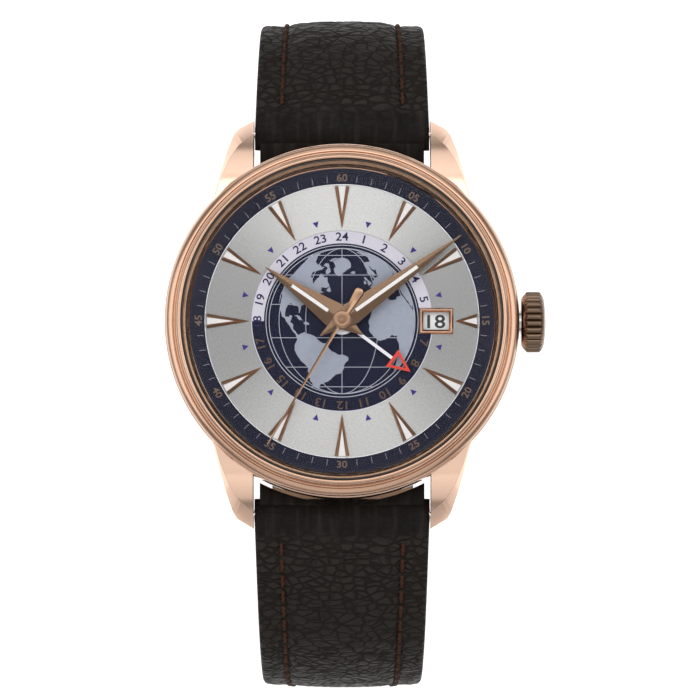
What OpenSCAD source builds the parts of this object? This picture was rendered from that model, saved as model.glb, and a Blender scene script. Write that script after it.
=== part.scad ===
// A three-hand GMT wristwatch with an automatic movement, on a padded leather strap.
// Millimetres. The origin is the centre of the back glass's outer face, +Z runs up
// through the dial, +Y points to 12 o'clock and +X to the crown at 3 o'clock.

/* [Case] */
// Outer diameter of the case middle
case_d = 42; // [41.6:0.2:44]
// Height of the case middle's top face over the back glass
case_top = 8.4; // [8.3:0.05:8.6]
// Height of the case middle's lower edge over the back glass
case_low = 1.2; // [1.1:0.05:1.5]
// Gap between the lugs, which is the strap's size
lug_gap = 21; // [20:0.5:22]
// Distance from lug tip to lug tip
lug_to_lug = 48.6; // [48:0.2:50]
// Width of a lug at its tip
lug_tip_w = 2.1; // [1.8:0.1:2.4]
// Width of a lug at its root, where it leaves the case
lug_root_w = 5.2; // [4.8:0.1:5.6]
// Distance between the two spring bars' axes
bar_span = 45.4; // [45:0.1:45.8]
// Height of the spring bars' axes
bar_z = 1.7; // [1.5:0.1:2]
// Diameter of a spring bar's body
bar_d = 1.8; // [1.5:0.1:2]

/* [Bezel and glass] */
// Step from the case's side in to the bezel's side
bezel_step = 0.25; // [0.2:0.05:0.5]
// Width of the bezel's lower step, groove and all
groove_w = 1.05; // [0.9:0.05:1.3]
// Wall of the bezel's upper ring, round the gasket
ring_w = 0.81; // [0.7:0.01:1]
// Height of the bezel above the case middle
bezel_h = 2.25; // [2:0.05:2.5]
// Rise of the crystal's dome above its edge
crystal_dome = 0.85; // [0.5:0.05:1.2]
// Thickness of the crystal at its edge
crystal_t = 1.35; // [1.2:0.05:1.5]
// Wall of the crystal's gasket
gasket_t = 0.24; // [0.18:0.02:0.28]

/* [Back] */
// Step from the case's side in to the case back's side
back_step = 3; // [2.5:0.25:3.5]
// Diameter of the back glass
back_glass_d = 26.6; // [26:0.2:27.4]
// Thickness of the back glass
back_glass_t = 1.1; // [1:0.05:1.15]
// Number of wrench notches in the case back
notches = 6; // [4:1:8]

/* [Dial] */
// Step from the crystal's edge in to the dial's edge
dial_step = 0.75; // [0.7:0.05:0.9]
// Thickness of the dial plate
dial_t = 0.4; // [0.3:0.05:0.45]
// Width of the chapter ring's slope
chapter_w = 1.7; // [1.5:0.1:1.9]
// Rise of the chapter ring's slope
chapter_rise = 1.1; // [0.9:0.05:1.3]
// Space between the hour markers' outer ends and the chapter ring
marker_gap = 0.25; // [0.2:0.05:0.6]
// Length of an hour marker
marker_l = 4.95; // [4.4:0.05:5.2]
// Width of an hour marker at its outer end
marker_w = 1.76; // [1.5:0.02:1.9]
// Width of a marker's two arms
marker_arm = 0.36; // [0.25:0.01:0.4]
// Height of the hour markers and the date frame
marker_h = 0.34; // [0.25:0.01:0.4]
// Length of the date frame along the radius
date_l = 4.05; // [3.8:0.05:4.2]
// Height of the date frame across the radius
date_w = 3.06; // [2.8:0.02:3.2]
// Radius of the date frame's centre
date_r = 11.1; // [11:0.05:11.2]

/* [Hands] */
// Length of the hour hand from the centre
hour_l = 10.97; // [10:0.01:11.5]
// Length of the minute hand from the centre
minute_l = 17.25; // [16:0.01:17.4]
// Length of the seconds hand from the centre
seconds_l = 17.1; // [16:0.1:17.4]
// Length of the second-time-zone hand from the centre
gmt_l = 10.1; // [9:0.1:10.8]
// Thickness of a hand's blade
hand_t = 0.16; // [0.12:0.01:0.18]
// Clock angle of the hour hand, clockwise from 12
hour_at = 304.9; // [0:0.1:360]
// Clock angle of the minute hand
minute_at = 54.5; // [0:0.1:360]
// Clock angle of the seconds hand
seconds_at = 210.8; // [0:0.1:360]
// Clock angle of the second-time-zone hand
gmt_at = 126.8; // [0:0.1:360]

/* [Crown] */
// Diameter of the crown over its flutes
crown_d = 7.2; // [6.6:0.1:7.4]
// Width of the crown along its stem
crown_w = 2.95; // [2.6:0.05:3.2]
// Number of flutes round the crown
flutes = 26; // [22:1:30]
// Diameter of the winding stem
stem_d = 0.8; // [0.7:0.05:0.9]
// Height of the stem's axis over the back glass
stem_z = 5.1; // [5.08:0.01:5.12]

/* [Movement] */
// Diameter of the movement
movement_d = 25.6; // [25.6:0.1:26]
// Centre distance from the barrel to the middle of the movement
barrel_r = 6.48; // [6.48:0.01:6.5]
// Direction of the barrel from the middle
barrel_a = 75; // [72:1:80]
// Centre distance from the third wheel to the middle
third_r = 4.4; // [4.38:0.01:4.42]
// Direction of the third wheel from the middle
third_a = 290; // [288:1:296]
// Centre distance from the escape wheel to the middle
escape_r = 3.64; // [3.62:0.01:3.66]
// Direction of the escape wheel from the middle
escape_a = 200; // [196:1:204]
// Centre distance from the balance to the middle
balance_r = 8.4; // [8.35:0.01:8.45]
// Direction of the balance from the middle
balance_a = 225; // [222:1:228]
// Diameter of the balance wheel
balance_d = 8.3; // [7.8:0.1:8.4]
// Diameter of the winding rotor
rotor_d = 24.6; // [24:0.1:24.8]

/* [Strap] */
// Width of the strap where it leaves the lugs
strap_w = 20.8; // [20:0.1:21]
// Width of the strap at the buckle
strap_end_w = 18; // [17:0.5:18]
// Thickness of the strap's flat margins
strap_t = 2.4; // [2.2:0.1:2.6]
// Extra height of the padded middle near the lugs
pad_h = 1.5; // [1.2:0.1:1.8]
// Thickness of the lining
lining_t = 0.9; // [0.8:0.1:1]
// Length of the buckle half, from its spring bar to the buckle's bar
strap_12_l = 66; // [64:0.5:68]
// Length of the half with the holes, from its spring bar to its tip
strap_6_l = 104; // [100:0.5:105]
// Inside width of the buckle
buckle_w = 18.6; // [18.4:0.1:19.4]
// Number of adjustment holes
hole_count = 7; // [5:1:8]

/* [Hidden] */
$fn = 64;

// Clearances: between still pieces, round a turning shaft, and above a moving disc
seat = 0.03;
run = 0.04;
air = 0.1;
// Radii worked out from the driving diameters
case_r = case_d / 2;
bezel_r = case_r - bezel_step;
ring_r = bezel_r - groove_w;
seat_r = ring_r - ring_w;
crystal_r = seat_r - gasket_t;
movement_r = movement_d / 2;
back_r = case_r - back_step;
glass_r = back_glass_d / 2;
dial_r = crystal_r - dial_step;
chapter_r = dial_r - chapter_w;
marker_out = chapter_r - marker_gap;
marker_in = marker_out - marker_l;
bar_y = bar_span / 2;
crown_r = crown_d / 2;
stem_r = stem_d / 2;
// Heights from the back glass up to the crystal
glass_top = back_glass_t;
rotor_z = glass_top + 0.3;
rotor_t = 0.6;
ratchet_z = rotor_z + rotor_t + air;
wheel_t = 0.16;
bridge_z = ratchet_z + wheel_t + 0.08;
bridge_t = 0.6;
train_z = bridge_z + bridge_t;
fourth_z = train_z + 0.06;
third_z = fourth_z + wheel_t + 0.05;
center_z = third_z + wheel_t + 0.08;
barrel_z = center_z + wheel_t + 0.07;
barrel_t = 0.78;
plate_z = barrel_z + barrel_t + 0.07;
plate_t = 1.2;
plate_top = plate_z + plate_t;
disc_z = plate_top + air;
disc_t = 0.25;
guide_z = disc_z + disc_t + 0.05;
guide_t = 0.15;
dial_z = 6.5;
dial_top = dial_z + dial_t;
gmt_z = dial_top + marker_h + 0.12;
hour_z = gmt_z + hand_t + 0.24;
minute_z = hour_z + hand_t + 0.26;
seconds_z = minute_z + hand_t + 0.26;
bezel_top = case_top + bezel_h;
crystal_z = bezel_top - crystal_t - 0.1;
case_bore = movement_r + 2.4;
thread_r = back_r - 1.6;
thread_h = 1.3;
// Pinion and wheel sizes: module is twice the centre distance over the summed teeth
barrel_teeth = 84;
center_pinion = 12;
center_teeth = 80;
third_pinion = 10;
third_teeth = 75;
fourth_pinion = 10;
fourth_teeth = 84;
escape_pinion = 7;
escape_teeth = 20;
barrel_m = 2 * barrel_r / (barrel_teeth + center_pinion);
center_m = 2 * third_r / (center_teeth + third_pinion);
third_m = 2 * third_r / (third_teeth + fourth_pinion);
fourth_m = 2 * escape_r / (fourth_teeth + escape_pinion);

function polar(r, a) = [r * cos(a), r * sin(a)];
barrel_at = polar(barrel_r, barrel_a);
third_at = polar(third_r, third_a);
escape_at = polar(escape_r, escape_a);
balance_at = polar(balance_r, balance_a);
// The pallet fork's pivot lies on the line from the escape wheel to the balance
escape_out = 2.0;
lever = balance_at - escape_at;
pallet_at = escape_at + lever * (escape_out + 0.42) / norm(lever);
lever_a = atan2(lever[1], lever[0]);
crown_wheel_at = [7, 0];
crown_wheel_r = 2.1;
transfer_teeth = 46;
ratchet_teeth = 50;
winding_m = 2 * norm(barrel_at - crown_wheel_at) / (transfer_teeth + ratchet_teeth);
ratchet_r = ratchet_teeth * winding_m / 2;
rotor_teeth = 34;
reverser_teeth = 30;
reverser_d = 3.7;
reverser_at = polar(reverser_d, 236);
rotor_m = 2 * reverser_d / (rotor_teeth + reverser_teeth);

gold = [0.86, 0.62, 0.5];
steel = [0.78, 0.79, 0.8];
brass = [0.84, 0.69, 0.4];
ruby = [0.75, 0.1, 0.2];
navy = [0.14, 0.15, 0.27];
silver = [0.83, 0.84, 0.85];
leather = [0.2, 0.16, 0.13];

// A round solid from a list of [radius, height] points
module turned(points) {
    rotate_extrude($fn = 180) polygon(points);
}

module ring(outer, inner, z, h) {
    translate([0, 0, z]) difference() {
        cylinder(r = outer, h = h, $fn = 180);
        translate([0, 0, -1]) cylinder(r = inner, h = h + 2, $fn = 180);
    }
}

// Outline of a spur gear with straight-flanked teeth round its pitch circle
module gear(teeth, m, thick, bore = 0, addendum = 0.85, root = 1.15) {
    pitch = teeth * m / 2;
    step = 360 / teeth;
    outline = [for (i = [0:teeth - 1]) for (k = [[-0.31, -root], [-0.13, addendum],
        [0.13, addendum], [0.31, -root]]) polar(pitch + k[1] * m, (i + k[0]) * step)];
    linear_extrude(thick) difference() {
        polygon(outline);
        if (bore > 0) circle(r = bore, $fn = 32);
    }
}

// Openings between the spokes of a wheel
module spoke_gaps(rim, hub, spokes, spoke_w, thick) {
    translate([0, 0, -1]) linear_extrude(thick + 2) difference() {
        circle(r = rim);
        circle(r = hub);
        for (i = [0:spokes - 1]) rotate(i * 360 / spokes) translate([0, -spoke_w / 2])
            square([rim + 1, spoke_w]);
    }
}

module wheel(teeth, m, z, hub, spokes = 4) {
    pitch = teeth * m / 2;
    translate([0, 0, z]) difference() {
        gear(teeth, m, wheel_t);
        spoke_gaps(pitch - 3.2 * m, hub, spokes, 0.32, wheel_t);
    }
}

// Plan of one lug pair: parallel inner faces, outer sides that sweep in to the tip
module lug_plan() {
    tip = lug_to_lug / 2;
    inner = lug_gap / 2;
    root = [inner + lug_root_w - 0.6, 14.8];
    corner = [inner + lug_tip_w, tip - 1.25];
    hollow = 0.3;
    sweep = [for (i = [0:8]) let (k = i / 8) root + k * (corner - root) - [4 * hollow * k * (1 - k), 0]];
    for (side = [-1, 1]) scale([side, 1]) polygon(concat([[inner, 8], [inner + lug_root_w, 8]], sweep,
        [[inner + lug_tip_w - 0.45, tip - 0.3], [inner + 0.9, tip], [inner, tip - 0.35]]));
}

// Side view of a lug: its back falls in one arc from the case's shoulder to the tip
module lug_side() {
    tip = lug_to_lug / 2;
    shoulder = [14, case_top - 0.2];
    tip_top = 1.6;
    fall = shoulder[1] - tip_top;
    back_r = (pow(tip - shoulder[0], 2) + fall * fall) / (2 * fall);
    intersection() {
        polygon([[8, case_low + 0.2], [16, case_low], [tip - 1.6, -0.75], [tip - 0.6, -0.85],
            [tip, -0.2], [tip, shoulder[1]], [8, shoulder[1]]]);
        union() {
            translate([shoulder[0], shoulder[1] - back_r]) circle(r = back_r, $fn = 360);
            translate([0, -2]) square([shoulder[0], 12]);
        }
    }
}

module lugs() {
    tall = 12;
    for (end = [0, 180]) rotate(end) intersection() {
        translate([0, 0, -2]) linear_extrude(tall) lug_plan();
        rotate([90, 0, 90]) translate([0, 0, -case_r]) linear_extrude(case_d) lug_side();
    }
}

// Space between the lugs, cut into the case wall so that the strap's nose can turn
nose_r = (strap_t + pad_h) / 2 + 0.1;
module strap_bays() {
    for (end = [-1, 1]) translate([-lug_gap / 2, end * bar_y, bar_z]) rotate([0, 90, 0])
        cylinder(r = nose_r + 0.3, h = lug_gap, $fn = 96);
}

module mid_case() {
    color(gold) difference() {
        union() {
            turned([[case_bore - 1, case_low], [case_r - 1.5, case_low], [case_r - 0.45, case_low + 1],
                [case_r - 0.05, case_low + 2.6], [case_r, case_low + 4.2],
                [case_r - 0.12, case_top - 0.35], [case_r - 0.4, case_top], [case_bore - 1, case_top]]);
            lugs();
        }
        translate([0, 0, case_low - 1]) cylinder(r = thread_r, h = thread_h + 1, $fn = 180);
        translate([0, 0, case_low]) cylinder(r = case_bore, h = case_top, $fn = 180);
        translate([0, 0, dial_z]) cylinder(r = dial_r + 0.3, h = case_top, $fn = 180);
        strap_bays();
        for (end = [-1, 1]) translate([-lug_gap / 2 - 1.1, end * bar_y, bar_z]) rotate([0, 90, 0])
            cylinder(r = 0.45 + seat, h = lug_gap + 2.2, $fn = 32);
        translate([case_bore - 1, 0, stem_z]) rotate([0, 90, 0])
            cylinder(r = 1.3, h = case_r - case_bore + 3);
    }
}

module bezel() {
    color(gold) turned([[dial_r + 0.15, case_top], [bezel_r - 0.15, case_top],
        [bezel_r, case_top + 0.15], [bezel_r, case_top + 0.75], [bezel_r - 0.25, case_top + 1],
        [ring_r + 0.45, case_top + 1.02], [ring_r + 0.3, case_top + 0.8], [ring_r + 0.05, case_top + 0.8],
        [ring_r, case_top + 1.1], [ring_r - 0.05, bezel_top - 0.5], [ring_r - 0.2, bezel_top - 0.12],
        [ring_r - 0.45, bezel_top], [seat_r + 0.2, bezel_top], [seat_r, bezel_top - 0.2],
        [seat_r, crystal_z], [dial_r + 0.15, crystal_z]]);
}

module crystal() {
    dome_r = (crystal_r * crystal_r + crystal_dome * crystal_dome) / (2 * crystal_dome);
    edge = crystal_z + crystal_t;
    color([0.8, 0.9, 1, 0.3]) intersection() {
        translate([0, 0, crystal_z]) cylinder(r = crystal_r, h = 4, $fn = 180);
        translate([0, 0, edge + crystal_dome - dome_r]) rotate_extrude($fn = 180)
            intersection() {
                circle(r = dome_r, $fn = 720);
                translate([0, 0]) square([crystal_r + 1, dome_r + 1]);
            }
    }
}

module crystal_gasket() {
    color("white") ring(seat_r, crystal_r, crystal_z, crystal_t - 0.1);
}

module case_back() {
    lip = glass_r - 0.9;
    color(gold) difference() {
        turned([[glass_r + seat, 0.12], [back_r - 0.9, 0.12], [back_r, 0.7], [back_r, case_low],
            [thread_r - 0.3, case_low], [thread_r - 0.3, case_low + thread_h],
            [thread_r - 1.4, case_low + thread_h], [thread_r - 1.4, glass_top + 0.25],
            [lip, glass_top + 0.25], [lip, glass_top], [glass_r + seat, glass_top]]);
        for (i = [0:notches - 1]) rotate(i * 360 / notches + 30) translate([back_r - 1.9, -1.1, -0.5])
            cube([1, 2.2, 1.05]);
    }
}

module back_glass() {
    color([0.8, 0.9, 1, 0.3]) cylinder(r = glass_r, h = glass_top, $fn = 180);
}

module back_gasket() {
    color([0.1, 0.1, 0.1]) ring(thread_r, thread_r - 0.3, case_low + thread_h - 0.45, 0.45);
}

module crown_tube() {
    tube_l = case_r - case_bore + 0.55;
    color(steel) translate([case_bore, 0, stem_z]) rotate([0, 90, 0]) difference() {
        cylinder(r = 1.3, h = tube_l);
        translate([0, 0, -1]) cylinder(r = stem_r + 0.1, h = tube_l + 2);
    }
}

module spring_bar(y) {
    pivot = 0.9;
    color(steel) translate([0, y, bar_z]) rotate([0, 90, 0]) {
        cylinder(r = bar_d / 2, h = lug_gap - 0.2, center = true, $fn = 48);
        cylinder(r = 0.45, h = lug_gap + 2 * pivot, center = true, $fn = 32);
    }
}

module movement_ring() {
    color(steel) difference() {
        ring(case_bore - seat, movement_r + seat, case_low + thread_h, dial_z - case_low - thread_h);
        translate([movement_r - 1, 0, stem_z]) rotate([0, 90, 0]) cylinder(r = stem_r + 0.15, h = 6);
        for (a = [35, 215]) rotate(a) translate([movement_r + 1.2, 0, dial_z - 1])
            cylinder(r = 0.45, h = 2, $fn = 24);
    }
}

module chapter_ring() {
    color(navy) turned([[chapter_r, dial_top], [dial_r + 0.1, dial_top],
        [dial_r + 0.1, dial_top + chapter_rise], [dial_r - 0.1, dial_top + chapter_rise],
        [chapter_r, dial_top + 0.12]]);
}

// Pins under the dial that hold it in the movement ring
module dial_feet() {
    for (a = [35, 215]) rotate(a) translate([movement_r + 1.2, 0, dial_z - 0.9])
        cylinder(r = 0.4, h = 1, $fn = 24);
}

module dial() {
    color(silver) difference() {
        union() {
            translate([0, 0, dial_z]) cylinder(r = dial_r + 0.1, h = dial_t, $fn = 180);
            dial_feet();
        }
        translate([0, 0, dial_z - 1]) cylinder(r = 1.45, h = 3);
        translate([date_r - date_l / 2 + 0.5, -date_w / 2 + 0.45, dial_z - 1])
            cube([date_l - 1, date_w - 0.9, 3]);
    }
}

// An applied marker: two arms that meet at a point towards the middle
module marker(inner, outer, w) {
    roof = 0.12;
    difference() {
        linear_extrude(marker_h) polygon([[inner, 0], [outer, -w / 2], [outer, w / 2]]);
        translate([0, 0, marker_h - roof]) linear_extrude(1)
            polygon([[inner + 1.2, 0], [outer + 0.1, -w / 2 + marker_arm],
                [outer + 0.1, w / 2 - marker_arm]]);
    }
}

module hour_markers() {
    color(gold) translate([0, 0, dial_top]) {
        for (h = [1:11]) if (h != 3) rotate(90 - 30 * h) marker(marker_in, marker_out, marker_w);
        rotate(90) marker(marker_in, marker_out, marker_w);
        marker(date_r + date_l / 2 + 0.3, marker_out, marker_w);
    }
}

// Luminous fillings that lie in the markers' recesses
module marker_lume() {
    depth = 0.12;
    color("white") translate([0, 0, dial_top + marker_h - depth]) linear_extrude(depth - 0.04)
        for (h = [1:12]) if (h != 3) rotate(90 - 30 * h) polygon([[marker_in + 1.6, 0],
            [marker_out - 0.1, -marker_w / 2 + marker_arm + 0.09],
            [marker_out - 0.1, marker_w / 2 - marker_arm - 0.09]]);
}

module date_frame() {
    wall = 0.5;
    color(gold) translate([date_r, 0, dial_top]) difference() {
        union() {
            translate([0, 0, 0]) linear_extrude(marker_h - 0.1)
                square([date_l, date_w], center = true);
            linear_extrude(marker_h) square([date_l - 0.3, date_w - 0.3], center = true);
        }
        translate([0, 0, -1]) linear_extrude(3)
            square([date_l - 2 * wall, date_w - 2 * wall], center = true);
    }
}

// A lance-shaped hand along +Y with a slot for its luminous filling, over its own pipe
module lance(len, wide, wide_at, tail, slot_from, slot_to, slot_w) {
    ridge = 0.1;
    flank = hand_t - ridge;
    difference() {
        union() {
            linear_extrude(flank)
                polygon([[0, -tail], [wide / 2, wide_at], [0, len], [-wide / 2, wide_at]]);
            translate([0, 0, flank]) polyhedron(
                points = [[0, -tail, 0], [wide / 2, wide_at, 0], [0, len, 0], [-wide / 2, wide_at, 0],
                    [0, -tail + 0.4, ridge], [0, len - 0.4, ridge]],
                faces = [[0, 1, 2, 3], [0, 4, 1], [1, 4, 5], [1, 5, 2], [2, 5, 3], [3, 5, 4], [3, 4, 0]]);
            cylinder(r = 1.05, h = hand_t);
        }
        translate([-slot_w / 2, slot_from, -1]) cube([slot_w, slot_to - slot_from, 3]);
    }
}

// The hands' pipes run inside each other, from the hour hand's down to the seconds arbor
pipe_hour = 1.0;
pipe_gmt = 1.3;
pipe_minute = 0.72;
arbor_fourth = 0.3;
module pipe(outer, inner, low, high) {
    translate([0, 0, low]) difference() {
        cylinder(r = outer, h = high - low);
        translate([0, 0, -1]) cylinder(r = inner, h = high - low + 2);
    }
}

module hour_hand() {
    wheel_m = 0.1;
    color(gold) difference() {
        union() {
            rotate(-hour_at) translate([0, 0, hour_z])
                lance(hour_l, 3.1, 1.1, 2.95, 1.95, 7.2, 0.38);
            translate([0, 0, plate_top + 0.16]) cylinder(r = pipe_hour, h = hour_z - plate_top);
            translate([0, 0, plate_top + 0.16]) gear(36, wheel_m, 0.15);
        }
        translate([0, 0, plate_top]) cylinder(r = pipe_minute + run, h = 4);
    }
}

module gmt_hand() {
    tip = 2.75;
    base = 2.5;
    stroke = 0.33;
    color([0.95, 0.95, 0.95]) {
        rotate(-gmt_at) translate([0, 0, gmt_z]) linear_extrude(hand_t) {
            difference() {
                circle(r = 1.65);
                circle(r = pipe_hour + run);
            }
            translate([-0.19, 1.3]) square([0.38, gmt_l - tip - 1.25]);
            difference() {
                polygon([[-base / 2, gmt_l - tip], [base / 2, gmt_l - tip], [0, gmt_l]]);
                polygon([[-base / 2 + 0.55, gmt_l - tip + stroke], [base / 2 - 0.55, gmt_l - tip + stroke],
                    [0, gmt_l - 2.2 * stroke]]);
            }
        }
        pipe(pipe_gmt, pipe_hour + run, plate_top + 0.4, gmt_z + hand_t);
        translate([0, 0, plate_top + 0.4]) difference() {
            gear(42, 0.1, 0.15);
            translate([0, 0, -1]) cylinder(r = pipe_hour + run, h = 3);
        }
    }
}

module minute_hand() {
    color(gold) difference() {
        union() {
            rotate(-minute_at) translate([0, 0, minute_z])
                lance(minute_l, 2.7, 1.3, 3.2, 2.0, 10.9, 0.38);
            pipe(pipe_minute, arbor_fourth + 0.25, plate_top + 0.02, minute_z + hand_t);
        }
        translate([0, 0, plate_top]) cylinder(r = arbor_fourth + 0.25, h = 5);
    }
}

module seconds_hand() {
    color(gold) {
        rotate(-seconds_at) translate([0, 0, seconds_z]) linear_extrude(hand_t)
            polygon([[-0.28, -0.9], [-0.5, -3.9], [-0.3, -4.25], [0, -4.35], [0.3, -4.25], [0.5, -3.9],
                [0.28, -0.9], [0.09, seconds_l], [-0.09, seconds_l]]);
        translate([0, 0, seconds_z - 0.03]) cylinder(r = 1.05, h = hand_t + 0.08);
        translate([0, 0, seconds_z + hand_t + 0.05]) cylinder(r1 = 0.85, r2 = 0.6, h = 0.15);
    }
    color(steel) translate([0, 0, fourth_z - 0.35])
        cylinder(r = arbor_fourth, h = seconds_z - fourth_z + 0.4);
    color(brass) {
        wheel(fourth_teeth, fourth_m, fourth_z, 0.75);
        translate([0, 0, fourth_z + wheel_t]) gear(fourth_pinion, third_m, third_z - fourth_z + 0.03);
    }
}

// The date ring turns on the plate round the date guide, on 31 inner teeth
disc_out = movement_r - 0.1;
disc_in = 8.9;
module date_disc() {
    days = 31;
    color("white") translate([0, 0, disc_z]) difference() {
        cylinder(r = disc_out, h = disc_t, $fn = 180);
        translate([0, 0, -1]) linear_extrude(3) difference() {
            circle(r = disc_in, $fn = 180);
            for (i = [0:days - 1]) rotate(i * 360 / days) polygon([[disc_in + 1, -0.25],
                [disc_in - 0.55, -0.12], [disc_in - 0.55, 0.12], [disc_in + 1, 0.25]]);
        }
    }
}

module date_guide() {
    inner = disc_in - 0.55 - air;
    color(steel) difference() {
        union() {
            translate([0, 0, plate_top]) ring(inner, 5.2, 0, guide_z - plate_top);
            translate([0, 0, guide_z]) cylinder(r = disc_in - 0.2, h = guide_t, $fn = 180);
        }
        translate([0, 0, plate_top - 1]) cylinder(r = 2.3, h = 5);
    }
}

module plate_hole(at, r) {
    translate([at[0], at[1], -1]) cylinder(r = r, h = 12, $fn = 32);
}

module mainplate() {
    color(steel) difference() {
        translate([0, 0, plate_z]) cylinder(r = movement_r, h = plate_t, $fn = 180);
        plate_hole([0, 0], 1.2);
        for (at = [third_at, escape_at, pallet_at, balance_at]) plate_hole(at, 0.35);
        plate_hole(barrel_at, 0.55);
        translate([9.2, 0, stem_z]) rotate([0, 90, 0]) cylinder(r = stem_r + run, h = 6, $fn = 48);
        translate([pinion_x - 0.2, -1, plate_z - 1]) cube([pinion_l + 0.4, 2, 3]);
    }
}

// Bridges lie on pillars that stand on the plate's back
module pillar(at, r) {
    translate([at[0], at[1], train_z]) cylinder(r = r, h = plate_z - train_z, $fn = 48);
}

module bridge_plan(inner, from, to) {
    steps = 24;
    polygon(concat([for (i = [0:steps]) polar(movement_r - 0.15, from + (to - from) * i / steps)],
        [for (i = [0:steps]) polar(inner, to - (to - from) * i / steps)]));
}

// Places of the bridges' screws, which their pillars share
barrel_screws = [polar(12, 32), polar(12, 125)];
train_screws = [polar(12, 258), polar(12, 335)];
cock_screw = polar(12, 186);
pallet_screws = [polar(6.4, 196), pallet_at + polar(2.3, lever_a - 75)];

module barrel_bridge() {
    color(steel) difference() {
        union() {
            translate([0, 0, bridge_z]) linear_extrude(bridge_t) bridge_plan(0.85, -12, 150);
            for (at = barrel_screws) pillar(at, 0.7);
        }
        plate_hole([0, 0], 2);
        plate_hole(barrel_at, 0.55);
        plate_hole(crown_wheel_at, 0.55);
        for (at = barrel_screws) plate_hole(at, 0.3);
    }
}

module train_bridge() {
    color(steel) difference() {
        union() {
            translate([0, 0, bridge_z]) linear_extrude(bridge_t) bridge_plan(0.85, 242, 342);
            translate([0, 0, bridge_z]) linear_extrude(bridge_t) hull() {
                circle(r = 1.6);
                translate(escape_at) circle(r = 1.1);
                translate(polar(3, 262)) circle(r = 1);
            }
            for (at = train_screws) pillar(at, 0.7);
        }
        plate_hole([0, 0], arbor_fourth + run);
        plate_hole(third_at, 0.35);
        plate_hole(escape_at, 0.35);
        for (at = train_screws) plate_hole(at, 0.3);
    }
}

module balance_cock() {
    color(steel) difference() {
        union() {
            translate([0, 0, bridge_z]) linear_extrude(bridge_t) hull() {
                translate(balance_at) circle(r = 1.5);
                translate(cock_screw) circle(r = 0.75);
            }
            pillar(cock_screw, 0.65);
        }
        plate_hole(balance_at, 0.35);
        plate_hole(cock_screw, 0.3);
    }
}

// The escape wheel, pallet fork and balance sit at three heights below the plate
escape_z = plate_z - 0.32;
pallet_z = escape_z + 0.02;
pallet_bridge_z = pallet_z - 0.22;
balance_z = third_z + wheel_t + 0.1;
module pallet_bridge() {
    thick = 0.15;
    color(steel) difference() {
        union() {
            translate([0, 0, pallet_bridge_z - thick]) linear_extrude(thick)
                for (at = pallet_screws) hull() {
                    translate(pallet_at) circle(r = 0.5, $fn = 32);
                    translate(at) circle(r = 0.45, $fn = 32);
                }
            for (at = pallet_screws) translate([at[0], at[1], pallet_bridge_z - thick])
                cylinder(r = 0.36, h = plate_z - pallet_bridge_z + thick, $fn = 32);
        }
        plate_hole(pallet_at, 0.16);
    }
}

module bridge_screws() {
    head = 0.14;
    color([0.2, 0.25, 0.5]) for (at = concat(barrel_screws, train_screws, [cock_screw]))
        translate([at[0], at[1], bridge_z - head]) difference() {
            union() {
                cylinder(r = 0.6, h = head, $fn = 32);
                translate([0, 0, head - 0.01]) cylinder(r = 0.27, h = 1.5, $fn = 32);
            }
            translate([-1, -0.08, -1]) cube([2, 0.16, 1.06]);
        }
}

// Bearing jewels: each fills its hole in a plate or bridge round its arbor's pivot
pivot_r = 0.12;
module jewel(at, z, h) {
    translate([at[0], at[1], z]) difference() {
        cylinder(r = 0.35, h = h, $fn = 32);
        translate([0, 0, -1]) cylinder(r = pivot_r + 0.03, h = h + 2, $fn = 32);
    }
}

module jewels() {
    color(ruby) {
        for (at = [third_at, escape_at, balance_at]) jewel(at, bridge_z + 0.1, bridge_t - 0.2);
        for (at = [third_at, escape_at, balance_at, pallet_at]) jewel(at, plate_z + 0.05, 0.4);
    }
}

// An arbor with a thin pivot at each end
module arbor(at, r, low, high) {
    translate([at[0], at[1], low]) cylinder(r = r, h = high - low, $fn = 32);
    translate([at[0], at[1], low - 0.4]) cylinder(r = pivot_r, h = high - low + 0.75, $fn = 32);
}

module mainspring_barrel() {
    rim = 0.35;
    color(brass) translate([barrel_at[0], barrel_at[1], barrel_z]) {
        difference() {
            union() {
                cylinder(r = barrel_m * barrel_teeth / 2 - 0.35, h = barrel_t, $fn = 128);
                gear(barrel_teeth, barrel_m, 0.3, addendum = 0.45);
            }
            translate([0, 0, -1]) cylinder(r = 0.5 + run, h = 4, $fn = 32);
            translate([0, 0, 0.15]) ring(barrel_m * barrel_teeth / 2 - 0.35 - rim, 1.1, 0, barrel_t - 0.3);
        }
    }
}

// The ratchet wheel and the barrel's arbor turn as one
module ratchet_wheel() {
    color(steel) translate([barrel_at[0], barrel_at[1], ratchet_z]) {
        difference() {
            gear(ratchet_teeth, winding_m, wheel_t);
            for (a = [0:60:300]) rotate(a) translate([ratchet_r * 0.55, 0, -1])
                cylinder(r = 0.75, h = 3, $fn = 32);
        }
        cylinder(r = 0.5, h = plate_top - ratchet_z - 0.2, $fn = 48);
    }
}

crown_teeth = 24;
module crown_wheel() {
    low = stem_z - 1.1;
    color(steel) translate([crown_wheel_at[0], crown_wheel_at[1], 0]) {
        translate([0, 0, ratchet_z]) rotate(180 / transfer_teeth) gear(transfer_teeth, winding_m, wheel_t);
        translate([0, 0, ratchet_z]) cylinder(r = 0.5, h = low - ratchet_z + 0.01, $fn = 48);
        translate([0, 0, low]) {
            cylinder(r = crown_wheel_r, h = 0.3, $fn = 64);
            for (i = [0:crown_teeth - 1]) rotate(i * 360 / crown_teeth)
                translate([crown_wheel_r - 0.5, -0.12, 0.29]) cube([0.45, 0.24, 0.22]);
        }
    }
}

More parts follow.
